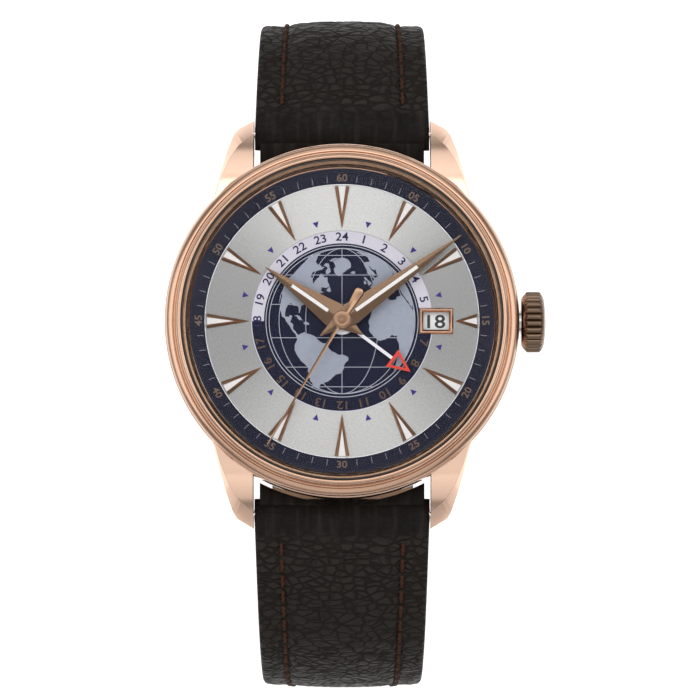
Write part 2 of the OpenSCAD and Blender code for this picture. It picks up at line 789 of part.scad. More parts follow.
module center_wheel() {
    color(brass) difference() {
        union() {
            wheel(center_teeth, center_m, center_z, 1.1);
            translate([0, 0, center_z])
                gear(center_pinion, barrel_m, barrel_z + barrel_t - center_z, addendum = 0.4, root = 1.65);
            translate([0, 0, center_z + 0.2]) cylinder(r = 0.66, h = plate_top - center_z - 0.2);
        }
        translate([0, 0, center_z - 1]) cylinder(r = arbor_fourth + run + 0.03, h = 6);
    }
}

module third_wheel() {
    color(brass) {
        translate([third_at[0], third_at[1], 0]) wheel(third_teeth, third_m, third_z, 0.7);
        translate([third_at[0], third_at[1], third_z + 0.05])
            gear(third_pinion, center_m, center_z + wheel_t - third_z + 0.05);
    }
    color(steel) arbor(third_at, 0.25, train_z + 0.02, plate_z - 0.02);
}

// Club-shaped teeth that lean towards the pallets
module escape_wheel() {
    root = escape_out - 0.42;
    step = 360 / escape_teeth;
    color(steel) {
        translate([escape_at[0], escape_at[1], escape_z]) difference() {
            linear_extrude(wheel_t) polygon([for (i = [0:escape_teeth - 1])
                for (k = [[0, root], [0.3, escape_out - 0.1], [0.52, escape_out],
                    [0.6, escape_out - 0.08], [0.45, root]]) polar(k[1], (i + k[0]) * step)]);
            spoke_gaps(root - 0.22, 0.42, 4, 0.2, wheel_t);
        }
        translate([escape_at[0], escape_at[1], fourth_z - 0.03]) gear(escape_pinion, fourth_m, 0.3);
        arbor(escape_at, 0.16, train_z + 0.02, plate_z - 0.02);
    }
}

// The fork's two arms carry the pallet stones; its horns hold the impulse pin between them
fork_l = norm(balance_at - pallet_at) - 0.16;
module pallet_fork() {
    color(steel) translate([pallet_at[0], pallet_at[1], 0]) {
        translate([0, 0, pallet_z]) linear_extrude(wheel_t - 0.03) rotate(lever_a) {
            difference() {
                union() {
                    circle(r = 0.34, $fn = 32);
                    translate([0, -0.11]) square([fork_l - 0.4, 0.22]);
                    translate([fork_l - 0.55, -0.34]) square([0.55, 0.68]);
                }
                translate([fork_l - 0.42, -0.14]) square([1, 0.28]);
            }
            for (side = [-1, 1]) scale([1, side]) polygon([[-0.1, 0.2], [0.15, 0.1], [0.1, 1.75],
                [-0.32, 1.85], [-0.3, 1.5]]);
        }
        translate([0, 0, pallet_bridge_z - 0.1])
            cylinder(r = pivot_r, h = plate_z - pallet_bridge_z + 0.35, $fn = 32);
    }
}

module balance_wheel() {
    rim_r = balance_d / 2;
    rim_w = 0.55;
    rim_t = 0.34;
    color(brass) translate([balance_at[0], balance_at[1], balance_z]) {
        difference() {
            cylinder(r = rim_r, h = rim_t, $fn = 128);
            translate([0, 0, -1]) linear_extrude(3) difference() {
                circle(r = rim_r - rim_w, $fn = 128);
                circle(r = 0.7);
                for (a = [0, 60, 120]) rotate(a + lever_a) square([2 * rim_r, 0.5], center = true);
            }
        }
        for (a = [30:60:330]) rotate(a + lever_a)
            translate([rim_r - rim_w, 0, rim_t / 2]) rotate([0, -90, 0])
            cylinder(r = 0.15, h = 0.3, $fn = 24);
    }
    color(steel) {
        arbor(balance_at, 0.2, train_z + 0.02, plate_z - 0.02);
        translate([balance_at[0], balance_at[1], balance_z + rim_t - 0.01]) cylinder(r = 0.6, h = 0.16);
        translate([balance_at[0] - 0.42 * cos(lever_a), balance_at[1] - 0.42 * sin(lever_a), balance_z + rim_t])
            cylinder(r = 0.09, h = pallet_z + wheel_t - balance_z - rim_t, $fn = 24);
    }
}

// A flat spiral from the balance's collet out to its stud, swept as one thin strip
module hairspring() {
    turns = 9;
    steps = 24;
    inner = 0.45;
    outer = 2.2;
    strip = 0.06;
    n = turns * steps;
    function spiral(i, off) = polar(inner + (outer - inner) * i / n + off, i * 360 / steps + lever_a);
    color([0.25, 0.35, 0.6]) translate([balance_at[0], balance_at[1], train_z + 0.06]) {
        linear_extrude(0.1) polygon(concat([for (i = [0:n]) spiral(i, -strip / 2)],
            [for (i = [n:-1:0]) spiral(i, strip / 2)]));
        difference() {
            cylinder(r = 0.46, h = 0.1);
            translate([0, 0, -1]) cylinder(r = 0.2 + 0.01, h = 3);
        }
    }
}

// Half-round winding weight with a rim at the outside and windows between its arms
module rotor() {
    r = rotor_d / 2;
    color(steel) difference() {
        union() {
            translate([0, 0, rotor_z]) linear_extrude(rotor_t - 0.15) difference() {
                circle(r = r, $fn = 180);
                polygon([[-r - 1, 1.2], [-2.6, 1.2], [-1.9, 2.6], [0, 3.2], [1.9, 2.6], [2.6, 1.2], [r + 1, 1.2],
                    [r + 1, r + 1], [-r - 1, r + 1]]);
            }
            translate([0, 0, rotor_z]) linear_extrude(rotor_t) difference() {
                circle(r = r, $fn = 180);
                circle(r = r - 2.2, $fn = 180);
                translate([-r - 1, 0.4]) square([2 * r + 2, r + 2]);
            }
            translate([0, 0, rotor_z + 0.1])
                gear(rotor_teeth, rotor_m, ratchet_z + wheel_t - rotor_z - 0.1);
        }
        translate([0, 0, rotor_z - 1]) cylinder(r = 1.5 + run, h = 3);
        for (side = [-1, 1]) scale([side, 1, 1]) translate([0, 0, rotor_z - 1]) linear_extrude(3)
            difference() {
                intersection() {
                    circle(r = r - 3.4, $fn = 128);
                    polygon([[1.1, -3.6], [1.6, -r], [r, -r * 0.55], [r, -3.0], [3.4, -2.2]]);
                }
                circle(r = 3.6);
            }
    }
}

module rotor_bearing() {
    color(steel) {
        translate([0, 0, rotor_z]) cylinder(r = 1.5, h = bridge_z - rotor_z, $fn = 64);
        translate([0, 0, rotor_z - 0.15]) cylinder(r = 2.1, h = 0.12, $fn = 64);
        translate([0, 0, rotor_z - 0.04]) cylinder(r = 1.2, h = 0.1, $fn = 64);
    }
}

module reverser_wheel() {
    color(brass) translate([reverser_at[0], reverser_at[1], 0]) {
        translate([0, 0, ratchet_z]) gear(reverser_teeth, rotor_m, wheel_t);
        translate([0, 0, ratchet_z + 0.01]) cylinder(r = 0.25, h = 0.22, $fn = 32);
    }
}

pinion_x = crown_wheel_at[0] + crown_wheel_r - 0.62;
pinion_l = 0.95;
pinion_teeth = 12;
crown_gap = 0.15;
crown_hub = 0.5;
module winding_stem() {
    color(steel) translate([pinion_x, 0, stem_z]) rotate([0, 90, 0])
        cylinder(r = stem_r, h = case_r + crown_gap + crown_hub - pinion_x, $fn = 48);
}

// Toothed sleeve on the stem, in mesh with the crown wheel below it
module winding_pinion() {
    color(steel) translate([pinion_x, 0, stem_z]) rotate([0, 90, 0]) difference() {
        rotate(180 / pinion_teeth) gear(pinion_teeth, 0.1, pinion_l);
        translate([0, 0, -1]) cylinder(r = stem_r + run, h = 4, $fn = 48);
    }
}

lever_at = [movement_r - 2.2, 3.4];
lever_end = [lever_at[0], 0.5];
module setting_lever() {
    thick = 0.3;
    low = plate_z - thick - 0.02;
    color(steel) difference() {
        translate([0, 0, low]) linear_extrude(thick) hull() {
            translate(lever_at) circle(r = 0.75, $fn = 32);
            translate(lever_end) circle(r = 0.35, $fn = 32);
        }
        plate_hole(lever_at, 0.25);
    }
}

// A fluted barrel with a domed cap and a chamfer that narrows each flute to a point
module crown() {
    flute_r = 0.3;
    color(gold) translate([case_r + crown_gap, 0, stem_z]) rotate([0, 90, 0]) difference() {
        turned([[0, crown_hub], [1.45, crown_hub], [1.45, 0], [crown_r - 0.75, 0], [crown_r, 0.6],
            [crown_r, crown_w - 0.75], [crown_r - 0.55, crown_w - 0.25], [crown_r - 1.2, crown_w - 0.12],
            [crown_r * 0.4, crown_w - 0.02], [0, crown_w]]);
        for (i = [0:flutes - 1]) rotate(i * 360 / flutes) translate([crown_r + 0.08, 0, -1])
            cylinder(r = flute_r, h = crown_w + 1, $fn = 24);
    }
}

// Strap routes lie in the YZ plane: straight and curved stretches as [length, turn]
inner_n = (strap_t + pad_h) / 2;
flat_n = strap_t - inner_n;
reach_12 = 38;
reach_6 = 43.3;
lean_12 = 14;
lean_6 = 10;
nose_run = 4.5;
corner_r = 12;
corner_l = corner_r * PI / 2;
buckle_l = 9;
tip_gap = 1.5;
keeper_t = 1;
keeper_room = 2.9;
end_pad = 0.3;
keeper_drop = keeper_room + keeper_t + 0.1;

function wall_y(reach, pad) = reach - flat_n - pad;
function sweep_r(wall, lean) = (wall - bar_y - nose_run * cos(lean)) / (1 - sin(lean));
function bend_z(wall, lean) = bar_z - nose_run * sin(lean) - sweep_r(wall, lean) * cos(lean);
function bend_l(wall, lean) = sweep_r(wall, lean) * (90 - lean) * PI / 180;
wall_12 = wall_y(reach_12, 0.6);
wall_6 = wall_y(reach_6, 0.75);
// Both halves' bottom runs meet at the buckle, the buckle half on its keepers
spare = strap_12_l + strap_6_l - 2 * nose_run - bend_l(wall_12, lean_12) - bend_l(wall_6, lean_6)
    - 2 * corner_l - (wall_12 + wall_6 - 2 * corner_r - buckle_l - tip_gap);
step_z = bend_z(wall_6, lean_6) - bend_z(wall_12, lean_12) + keeper_drop;
drop_12 = (spare - step_z) / 2;
drop_6 = spare - drop_12;
route_12 = [[nose_run, 0], [bend_l(wall_12, lean_12), lean_12 - 90], [drop_12, 0],
    [corner_l, -90], [60, 0]];
route_6 = [[nose_run, 0], [bend_l(wall_6, lean_6), lean_6 - 90], [drop_6, 0],
    [corner_l, -90], [80, 0]];

function turn_r(piece) = piece[0] / (piece[1] * PI / 180);
function ahead(at, l, piece) = piece[1] == 0 ?
    [at[0] + l * cos(at[2]), at[1] + l * sin(at[2]), at[2]] :
    let (a = at[2] + piece[1] * l / piece[0], r = turn_r(piece))
    [at[0] + r * (sin(a) - sin(at[2])), at[1] + r * (cos(at[2]) - cos(a)), a];
// Place and heading at a length along a route, [y, z, heading]
function along(route, s, at, i = 0) = s <= route[i][0] || i == len(route) - 1 ?
    ahead(at, s, route[i]) : along(route, s - route[i][0], ahead(at, route[i][0], route[i]), i + 1);
function start_of(lean) = [bar_y, bar_z, -lean];
// A point at height n over the route, on its outer side
function over(at, n) = [at[0] + n * sin(-at[2]), at[1] + n * cos(at[2])];

function strap_width(s) = strap_end_w + (strap_w - strap_end_w) * pow(max(0, 1 - s / 60), 1.4);
function rise_at(s) = (pad_h - 0.4) * pow(max(0, 1 - s / 9), 1.5);
function pad_at(s) = end_pad + (pad_h - end_pad) * pow(max(0, 1 - s / 32), 1.5);
tip_l = 10;
function tip_width(s, l) = s < l - tip_l ? 1 :
    max(0.16, sqrt(max(0, 1 - pow((s - l + tip_l) / tip_l, 2))));

stitch_in = 3.2;
// One cross-section of the leather: flat margins with a crowned middle, [across, height]
function leather_section(w, pad, rise, low) = let (m = max(0.3, w / 2 - stitch_in),
    f = flat_n + rise, p = (pad - rise) * min(1, m / 3))
    [[-w / 2, low], [-w / 2, f - 0.3], [-w / 2 + 0.3, f], [-m, f], [-m * 0.82, f + 0.55 * p],
    [-m * 0.5, f + 0.87 * p], [0, f + p], [m * 0.5, f + 0.87 * p], [m * 0.82, f + 0.55 * p],
    [m, f], [w / 2 - 0.3, f], [w / 2, f - 0.3], [w / 2, low]];
function lining_section(w) = [[-w / 2 + 0.15, -inner_n], [-w / 2 + 0.15, -inner_n + lining_t],
    [w / 2 - 0.15, -inner_n + lining_t], [w / 2 - 0.15, -inner_n]];

// Joins equal rings of points into one closed solid; side is -1 on the 6 o'clock half
module swept(rings, side) {
    n = len(rings[0]);
    last = len(rings) - 1;
    points = [for (r = rings) for (p = r) p];
    function quad(i, j) = [i * n + j, i * n + (j + 1) % n, (i + 1) * n + (j + 1) % n, (i + 1) * n + j];
    walls = [for (i = [0:last - 1]) for (j = [0:n - 1]) let (q = quad(i, j)) each
        [[q[0], q[1], q[2]], [q[0], q[2], q[3]]]];
    caps = [[for (j = [n - 1:-1:0]) j], [for (j = [0:n - 1]) last * n + j]];
    faces = concat(walls, caps);
    polyhedron(points, side > 0 ? faces : [for (f = faces) [for (k = [len(f) - 1:-1:0]) f[k]]]);
}

function placed(section, at, side) = [for (p = section)
    let (q = over(at, p[1])) [p[0], side * q[0], q[1]]];

// The roll at each bar: its end is round, so the section shrinks about the bar's axis
roll_r = (strap_t + end_pad) / 2 - 0.1;
nose_l = 2.5;
step_l = 0.1;
stations = 32;
round_end = [0.35, 0.6, 0.8, 0.92, 0.985];
tip_end = [0.3, 0.55, 0.75, 0.88, 0.96, 1];
function leather_stops(l, tip) = let (from = nose_l + step_l, to = tip ? l - tip_l : l - roll_r - step_l)
    concat([for (k = [4:-1:0]) -inner_n * round_end[k]], [0, nose_l],
        [for (i = [0:stations]) from + (to - from) * i / stations],
        tip ? [for (k = tip_end) l - tip_l + tip_l * k] :
        concat([l - roll_r, l], [for (k = round_end) l + roll_r * k]));
function low_at(s, l, tip) = s < nose_l + step_l / 2 || (!tip && s > l - roll_r - step_l / 2) ?
    -inner_n : -inner_n + lining_t;
function shrink_at(s, l, tip) = s < 0 ? sqrt(1 - pow(s / inner_n, 2)) :
    s > l && !tip ? sqrt(1 - pow((s - l) / roll_r, 2)) : 1;
function shrunk(section, middle, k) = [for (p = section) [p[0], middle + (p[1] - middle) * k]];

module leather_half(route, lean, l, tip, side) {
    swept([for (s = leather_stops(l, tip)) placed(shrunk(leather_section(strap_width(max(0, s)) *
        (tip ? tip_width(s, l) : 1), pad_at(max(0, s)), rise_at(max(0, s)), low_at(s, l, tip)),
        s < 0 ? 0 : roll_r - inner_n, shrink_at(s, l, tip)), along(route, s, start_of(lean)), side)], side);
}

module lining_half(route, lean, l, tip, side) {
    stops = [for (s = leather_stops(l, tip))
        if (s > nose_l + step_l / 2 && (tip || s < l - roll_r - step_l / 2)) s];
    swept([for (s = stops) placed(lining_section(strap_width(s) * (tip ? tip_width(s, l) : 1)),
        along(route, s, start_of(lean)), side)], side);
}

module bar_hole(side) {
    translate([0, side * bar_y, bar_z]) rotate([0, 90, 0])
        cylinder(r = bar_d / 2 + run, h = strap_w + 2, center = true, $fn = 48);
}

// The buckle's bar lies in the roll at the end of the 12 o'clock half
pin_r = 0.55;
end_12 = along(route_12, strap_12_l, start_of(lean_12));
pin_at = over(end_12, roll_r - inner_n);
tongue_w = 1.9;

module strap_12_leather() {
    color(leather) difference() {
        leather_half(route_12, lean_12, strap_12_l, false, 1);
        bar_hole(1);
        translate([0, pin_at[0], pin_at[1]]) rotate([0, 90, 0])
            cylinder(r = pin_r + run, h = strap_w + 2, center = true, $fn = 48);
        translate([-tongue_w / 2 - 0.3, pin_at[0] - 3, pin_at[1] - 4]) cube([tongue_w + 0.6, 7.5, 8]);
    }
}

module strap_12_lining() {
    color([0.35, 0.24, 0.17]) difference() {
        lining_half(route_12, lean_12, strap_12_l, false, 1);
        translate([-tongue_w / 2 - 0.3, pin_at[0] - 3, pin_at[1] - 4]) cube([tongue_w + 0.6, 7.5, 8]);
    }
}

// Adjustment holes through both layers of the 6 o'clock half
hole_step = 6.5;
first_hole = 21;
module strap_holes() {
    for (i = [0:hole_count - 1]) {
        at = along(route_6, strap_6_l - first_hole - i * hole_step, start_of(lean_6));
        translate([0, -at[0], at[1]]) rotate([-at[2], 0, 0]) translate([0, 0, -4])
            cylinder(r = 0.95, h = 8, $fn = 32);
    }
}

module strap_6_leather() {
    color(leather) difference() {
        leather_half(route_6, lean_6, strap_6_l, true, -1);
        bar_hole(-1);
        strap_holes();
    }
}

module strap_6_lining() {
    color([0.35, 0.24, 0.17]) difference() {
        lining_half(route_6, lean_6, strap_6_l, true, -1);
        strap_holes();
    }
}

// The buckle is drawn with its outer side up and turned over to its place
// Its frame is a bow with rounded corners, drilled across its two arms for the bar
module buckle_place() {
    translate([0, pin_at[0], pin_at[1]]) rotate([0, 180, 0]) children();
}

module buckle_frame() {
    arm = 1.7;
    thick = 2;
    out = buckle_w / 2 + arm;
    color(gold) buckle_place() difference() {
        translate([0, 0, -thick / 2]) linear_extrude(thick) difference() {
            hull() {
                translate([-out + 1, 0]) circle(r = 1, $fn = 32);
                translate([out - 1, 0]) circle(r = 1, $fn = 32);
                translate([-out + 3.2, -buckle_l + 3]) circle(r = 3, $fn = 64);
                translate([out - 3.2, -buckle_l + 3]) circle(r = 3, $fn = 64);
            }
            hull() {
                translate([-buckle_w / 2, 2]) square([buckle_w, 1]);
                translate([-buckle_w / 2 + 1.8, -buckle_l + 4.1]) circle(r = 1.8, $fn = 64);
                translate([buckle_w / 2 - 1.8, -buckle_l + 4.1]) circle(r = 1.8, $fn = 64);
            }
        }
        rotate([0, 90, 0]) cylinder(r = pin_r - 0.15 + seat, h = 2 * out + 1, center = true, $fn = 32);
        translate([0, -buckle_l, thick / 2]) rotate([90, 0, 0])
            cylinder(r = tongue_w / 2 + 0.15, h = 8, center = true, $fn = 32);
    }
}

module buckle_bar() {
    color(steel) buckle_place() rotate([0, 90, 0]) {
        cylinder(r = pin_r, h = buckle_w - 0.1, center = true, $fn = 48);
        cylinder(r = pin_r - 0.15, h = buckle_w + 2.4, center = true, $fn = 32);
    }
}

// The tongue's eye turns on the bar and its tip rests in the frame's groove
module buckle_tongue() {
    thick = 0.9;
    eye = 1.15;
    rest_z = 0.35;
    color(gold) buckle_place() difference() {
        union() {
            rotate([0, 90, 0]) cylinder(r = eye, h = tongue_w, center = true, $fn = 48);
            translate([-tongue_w / 2, 0, 0]) rotate([90, 0, 90]) linear_extrude(tongue_w)
                polygon([[0, rest_z - 0.2], [0, rest_z + thick - 0.1], [-buckle_l + 2.4, rest_z + thick + 0.1],
                    [-buckle_l + 0.5, rest_z + thick], [-buckle_l + 0.2, rest_z + thick - 0.35],
                    [-buckle_l + 0.5, rest_z + 0.3], [-buckle_l + 2.6, rest_z + 0.35]]);
        }
        rotate([0, 90, 0]) cylinder(r = pin_r + run, h = 9, center = true, $fn = 48);
    }
}

// A keeper is a leather band round the strap where it curves under, bent to the same
// centre, with room on its outer side for the other half's tail
bend_at = [wall_12 - corner_r, bend_z(wall_12, lean_12) - drop_12];
bend_start = nose_run + bend_l(wall_12, lean_12) + drop_12;
function bend_angle(s) = (s - bend_start) / corner_r * 180 / PI;
module keeper(s, wide) {
    half = strap_width(s) / 2 + 0.25;
    low = corner_r - inner_n - 0.15;
    high = corner_r + flat_n + end_pad + keeper_room;
    span = wide / corner_r * 180 / PI;
    color(leather) translate([0, bend_at[0], bend_at[1]]) rotate([0, 90, 0])
        rotate([0, 0, 90 - bend_angle(s) - span / 2])
            rotate_extrude(angle = span, $fn = 180) difference() {
                union() {
                    translate([low - keeper_t, -half]) square([high - low + 2 * keeper_t, 2 * half]);
                    translate([low, -half - keeper_t]) square([high - low, 2 * half + 2 * keeper_t]);
                    for (r = [low, high], x = [-half, half]) translate([r, x])
                        circle(r = keeper_t, $fn = 32);
                }
                translate([low, -half]) square([high - low, 2 * half]);
            }
}

// Where the keepers stand along the buckle half
keeper_w = 5;
fixed_at = bend_start + corner_l - keeper_w / 2 - 0.1;
sliding_at = fixed_at - keeper_w - 0.6;
module fixed_keeper() {
    keeper(fixed_at, keeper_w);
}

module sliding_keeper() {
    keeper(sliding_at, keeper_w);
}

mid_case();
bezel();
crystal();
crystal_gasket();
case_back();
back_glass();
back_gasket();
crown_tube();
spring_bar(bar_y);  // spring_bar_12
spring_bar(-bar_y);  // spring_bar_6
movement_ring();
chapter_ring();
dial();
hour_markers();
marker_lume();
date_frame();
hour_hand();
minute_hand();
seconds_hand();
gmt_hand();
date_disc();
date_guide();
mainplate();
barrel_bridge();
train_bridge();
balance_cock();
pallet_bridge();
bridge_screws();
jewels();
mainspring_barrel();
ratchet_wheel();
crown_wheel();
center_wheel();
third_wheel();
escape_wheel();
pallet_fork();
balance_wheel();
hairspring();
rotor();
rotor_bearing();
reverser_wheel();
winding_stem();
winding_pinion();
setting_lever();
crown();
strap_12_leather();
strap_12_lining();
strap_6_leather();
strap_6_lining();
buckle_frame();
buckle_bar();
buckle_tongue();
fixed_keeper();
sliding_keeper();
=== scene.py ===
import math

import bmesh
import bpy
import numpy as np
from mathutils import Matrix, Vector
from mathutils.geometry import tessellate_polygon
from mathutils.kdtree import KDTree


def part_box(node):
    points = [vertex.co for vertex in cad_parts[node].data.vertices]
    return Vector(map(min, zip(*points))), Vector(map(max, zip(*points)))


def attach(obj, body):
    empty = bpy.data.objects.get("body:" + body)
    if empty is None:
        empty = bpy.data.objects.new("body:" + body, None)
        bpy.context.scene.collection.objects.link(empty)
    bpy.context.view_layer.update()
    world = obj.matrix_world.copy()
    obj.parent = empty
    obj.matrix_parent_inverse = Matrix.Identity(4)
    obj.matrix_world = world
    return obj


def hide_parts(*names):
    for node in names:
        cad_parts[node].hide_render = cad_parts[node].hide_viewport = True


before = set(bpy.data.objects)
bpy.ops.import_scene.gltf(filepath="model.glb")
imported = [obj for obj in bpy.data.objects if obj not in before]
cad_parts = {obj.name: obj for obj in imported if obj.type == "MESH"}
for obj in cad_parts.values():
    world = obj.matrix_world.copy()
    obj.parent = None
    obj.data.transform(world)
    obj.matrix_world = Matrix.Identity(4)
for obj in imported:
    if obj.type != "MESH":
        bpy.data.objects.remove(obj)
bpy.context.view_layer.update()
mm = 0.001

# Case middle and lugs
# The case middle is forged and turned from rose-gold plated steel, with its four lugs in one
# piece, and mirror polished. Every edge is broken by a fine polished bevel.


def wired(tree, kind, inputs=None, **own):
    """Adds a shader node with settings of its own. Each of its inputs is linked to the socket or
    set to the value that is given for it."""
    node = tree.nodes.new("ShaderNode" + kind)
    for setting, value in own.items():
        setattr(node, setting, value)
    for key, value in (inputs or {}).items():
        if isinstance(value, bpy.types.NodeSocket):
            tree.links.new(value, node.inputs[key])
        else:
            node.inputs[key].default_value = value
    return node


def ramp(tree, factor, first, last, low=0.0, high=1.0):
    """A colour ramp that goes from the first colour at low to the last one at high."""
    node = wired(tree, "ValToRGB", {"Fac": factor})
    for stop, place, colour in zip(node.color_ramp.elements, (low, high), (first, last)):
        stop.position = place
        stop.color = (*colour, 1)
    return node


def toned(colour, factor):
    """The colour with each part multiplied by factor, up to 1."""
    return [min(1, part * factor) for part in colour]


def feed(tree, key, socket):
    """Links a socket to an input of the tree's Principled shader."""
    tree.links.new(socket, tree.nodes["Principled BSDF"].inputs[key])


def raised(tree, height, strength, distance):
    """Bumps the tree's Principled shader by a height."""
    bump = wired(tree, "Bump", {"Height": height, "Strength": strength, "Distance": distance})
    feed(tree, "Normal", bump.outputs["Normal"])


def finish(name, colour, metallic, roughness, vary=0.0, scale=400.0, scuff=0.0, bump=0.0,
           stretch=(1, 1, 1), specular=0.5):
    """A Principled material on Object coordinates. A noise, stretched along one axis for a brushed
    grain, lightens and darkens the colour by vary, moves the roughness by scuff and raises bump."""
    mat = bpy.data.materials.new(name)
    mat.use_nodes = True
    tree = mat.node_tree
    shader = tree.nodes["Principled BSDF"]
    for key, value in (("Base Color", (*colour, 1)), ("Metallic", metallic), ("Roughness", roughness),
                       ("Specular IOR Level", specular)):
        shader.inputs[key].default_value = value
    place = wired(tree, "TexCoord")
    turn = wired(tree, "Mapping", {"Vector": place.outputs["Object"], "Scale": stretch})
    grain = wired(tree, "TexNoise", {"Vector": turn.outputs["Vector"], "Scale": scale, "Detail": 5})
    noise = grain.outputs["Fac"]
    low, high = 0.3, 0.7
    if vary:
        tone = ramp(tree, noise, toned(colour, 1 - vary), toned(colour, 1 + vary), low, high)
        feed(tree, "Base Color", tone.outputs["Color"])
    if scuff:
        wear = wired(tree, "MapRange", {"Value": noise, "From Min": low, "From Max": high,
                                        "To Min": max(0.02, roughness - scuff), "To Max": roughness + scuff})
        feed(tree, "Roughness", wear.outputs["Result"])
    if bump:
        raised(tree, noise, 0.5, bump)
    return mat


def placed(name, data):
    """A new object in the scene."""
    thing = bpy.data.objects.new(name, data)
    bpy.context.scene.collection.objects.link(thing)
    return thing


def smooth(mesh, sharp):
    """Shades a mesh smooth but for edges over sharp degrees."""
    mesh.shade_smooth()
    mesh.set_sharp_from_angle(angle=math.radians(sharp))


def skin(name, vertices, faces, mat, sharp=30):
    """A new object from vertices in metres and faces, smooth but for edges over sharp degrees."""
    mesh = bpy.data.meshes.new(name)
    points = np.asarray(vertices, float).reshape(-1, 3)
    mesh.from_pydata(points.tolist(), [], [list(map(int, f)) for f in faces])
    mesh.validate()
    smooth(mesh, sharp)
    mesh.materials.append(mat)
    return placed(name, mesh)


def net(rows, columns, wrap_rows=False, wrap_columns=False, first=0):
    """Quads between neighbouring points of a grid that is numbered row by row from first."""
    r = np.arange(rows if wrap_rows else rows - 1)[:, None]
    c = np.arange(columns if wrap_columns else columns - 1)[None, :]
    r2, c2 = (r + 1) % rows, (c + 1) % columns
    quads = np.stack([r * columns + c, r * columns + c2, r2 * columns + c2, r2 * columns + c], -1)
    return quads.reshape(-1, 4) + first


def tube(rows, columns, first=0):
    """Faces of a tube through rings of points, one ring a row, closed by one face at each end."""
    last = first + (rows - 1) * columns
    ends = [list(range(first + columns - 1, first - 1, -1)), list(range(last, last + columns))]
    return net(rows, columns, False, True, first).tolist() + ends


def around(sides):
    """Angles of evenly spaced points round a circle."""
    return np.linspace(0, 2 * np.pi, sides, endpoint=False)


def weld(shape):
    """Merges the doubles of a bmesh."""
    bmesh.ops.remove_doubles(shape, verts=shape.verts, dist=2e-6)


def outward(piece, welded=False):
    """Turns all faces of a closed mesh outwards, with its doubles merged first if it is welded."""
    shape = bmesh.new()
    shape.from_mesh(piece.data)
    if welded:
        weld(shape)
    bmesh.ops.recalc_face_normals(shape, faces=shape.faces)
    shape.to_mesh(piece.data)
    shape.free()
    return piece


def made_from(shape, name, mat):
    """A new object from a bmesh, in one material."""
    mesh = bpy.data.meshes.new(name)
    shape.to_mesh(mesh)
    shape.free()
    mesh.materials.clear()
    mesh.materials.append(mat)
    return placed(name, mesh)


def dressed(piece, body, node=None):
    """Hides the CAD node that a piece stands for, if any, and gives the piece its body."""
    if node:
        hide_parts(node)
    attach(piece, body)
    return piece


def bevel(piece, width, segments, angle, miter):
    """Breaks edges over angle degrees by a polished bevel of that width in millimetres."""
    edge = piece.modifiers.new("polished_bevel", "BEVEL")
    edge.width = width * mm
    edge.segments = segments
    edge.limit_method = "ANGLE"
    edge.angle_limit = math.radians(angle)
    edge.miter_outer = miter
    edge.harden_normals = False


def bevelled_copy(node, mat, width, body, segments=2):
    """A copy of a CAD node, its doubles merged and flat faces joined, whose sharp edges get a
    polished bevel of that width in millimetres. It stands for the node."""
    shape = bmesh.new()
    shape.from_mesh(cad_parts[node].data)
    weld(shape)
    flat = math.radians(1.0)
    bmesh.ops.dissolve_limit(shape, angle_limit=flat, verts=shape.verts, edges=shape.edges)
    piece = made_from(shape, node + "_shown", mat)
    sharp = 35
    bevel(piece, width, segments, sharp, "MITER_ARC")
    smooth(piece.data, sharp)
    return dressed(piece, body, node)


def rod(at, direction, radius, length, sides=24):
    """A closed straight rod round a point, along a direction, for cutting."""
    d = Vector(direction).normalized()
    u = d.orthogonal().normalized()
    v = d.cross(u)
    a = around(sides)[:, None]
    ring = radius * (np.cos(a) * np.array(u) + np.sin(a) * np.array(v))
    ends = [np.array(at) + k * length / 2 * np.array(d) + ring for k in (-1, 1)]
    return outward(skin("cutter", np.vstack(ends) * mm, tube(2, sides), rose_gold, 60))


def carve(piece, tools, operation):
    """Takes closed tool meshes away from a piece, or keeps what is inside them, for good, before
    its bevel is made, and removes the tools. Returns the mesh from before."""
    others = list(piece.modifiers)
    for other in others:
        other.show_viewport = False
    cuts = []
    for tool in tools:
        cut = piece.modifiers.new("cut", "BOOLEAN")
        cut.operation, cut.object, cut.solver = operation, tool, "EXACT"
        cuts.append(cut)
    bpy.context.view_layer.update()
    before = piece.data
    piece.data = bpy.data.meshes.new_from_object(
        piece.evaluated_get(bpy.context.evaluated_depsgraph_get()))
    for cut in cuts:
        piece.modifiers.remove(cut)
    for other in others:
        other.show_viewport = True
    for tool in tools:
        bpy.data.objects.remove(tool)
    return before


gold_grain = {"vary": 0.02, "scale": 300, "scuff": 0.02}
rose_gold = finish("rose_gold_polished", (0.90, 0.62, 0.475), 1.0, 0.09, **gold_grain)
middle = bevelled_copy("mid_case", rose_gold, 0.16, "case", segments=3)
carve(middle, [rod((0, 0, 5), (0, 0, 1), 20.97, 20, 256)], "INTERSECT")
smooth(middle.data, 35)

# The lugs curve down to their tips. Along its outer side and over its tip each has one polished
# facet that starts as a line at the bezel and widens to the tip, where it meets the inner face.
lug_gold = finish("rose_gold_lugs", (0.90, 0.62, 0.475), 1.0, 0.2, **gold_grain)


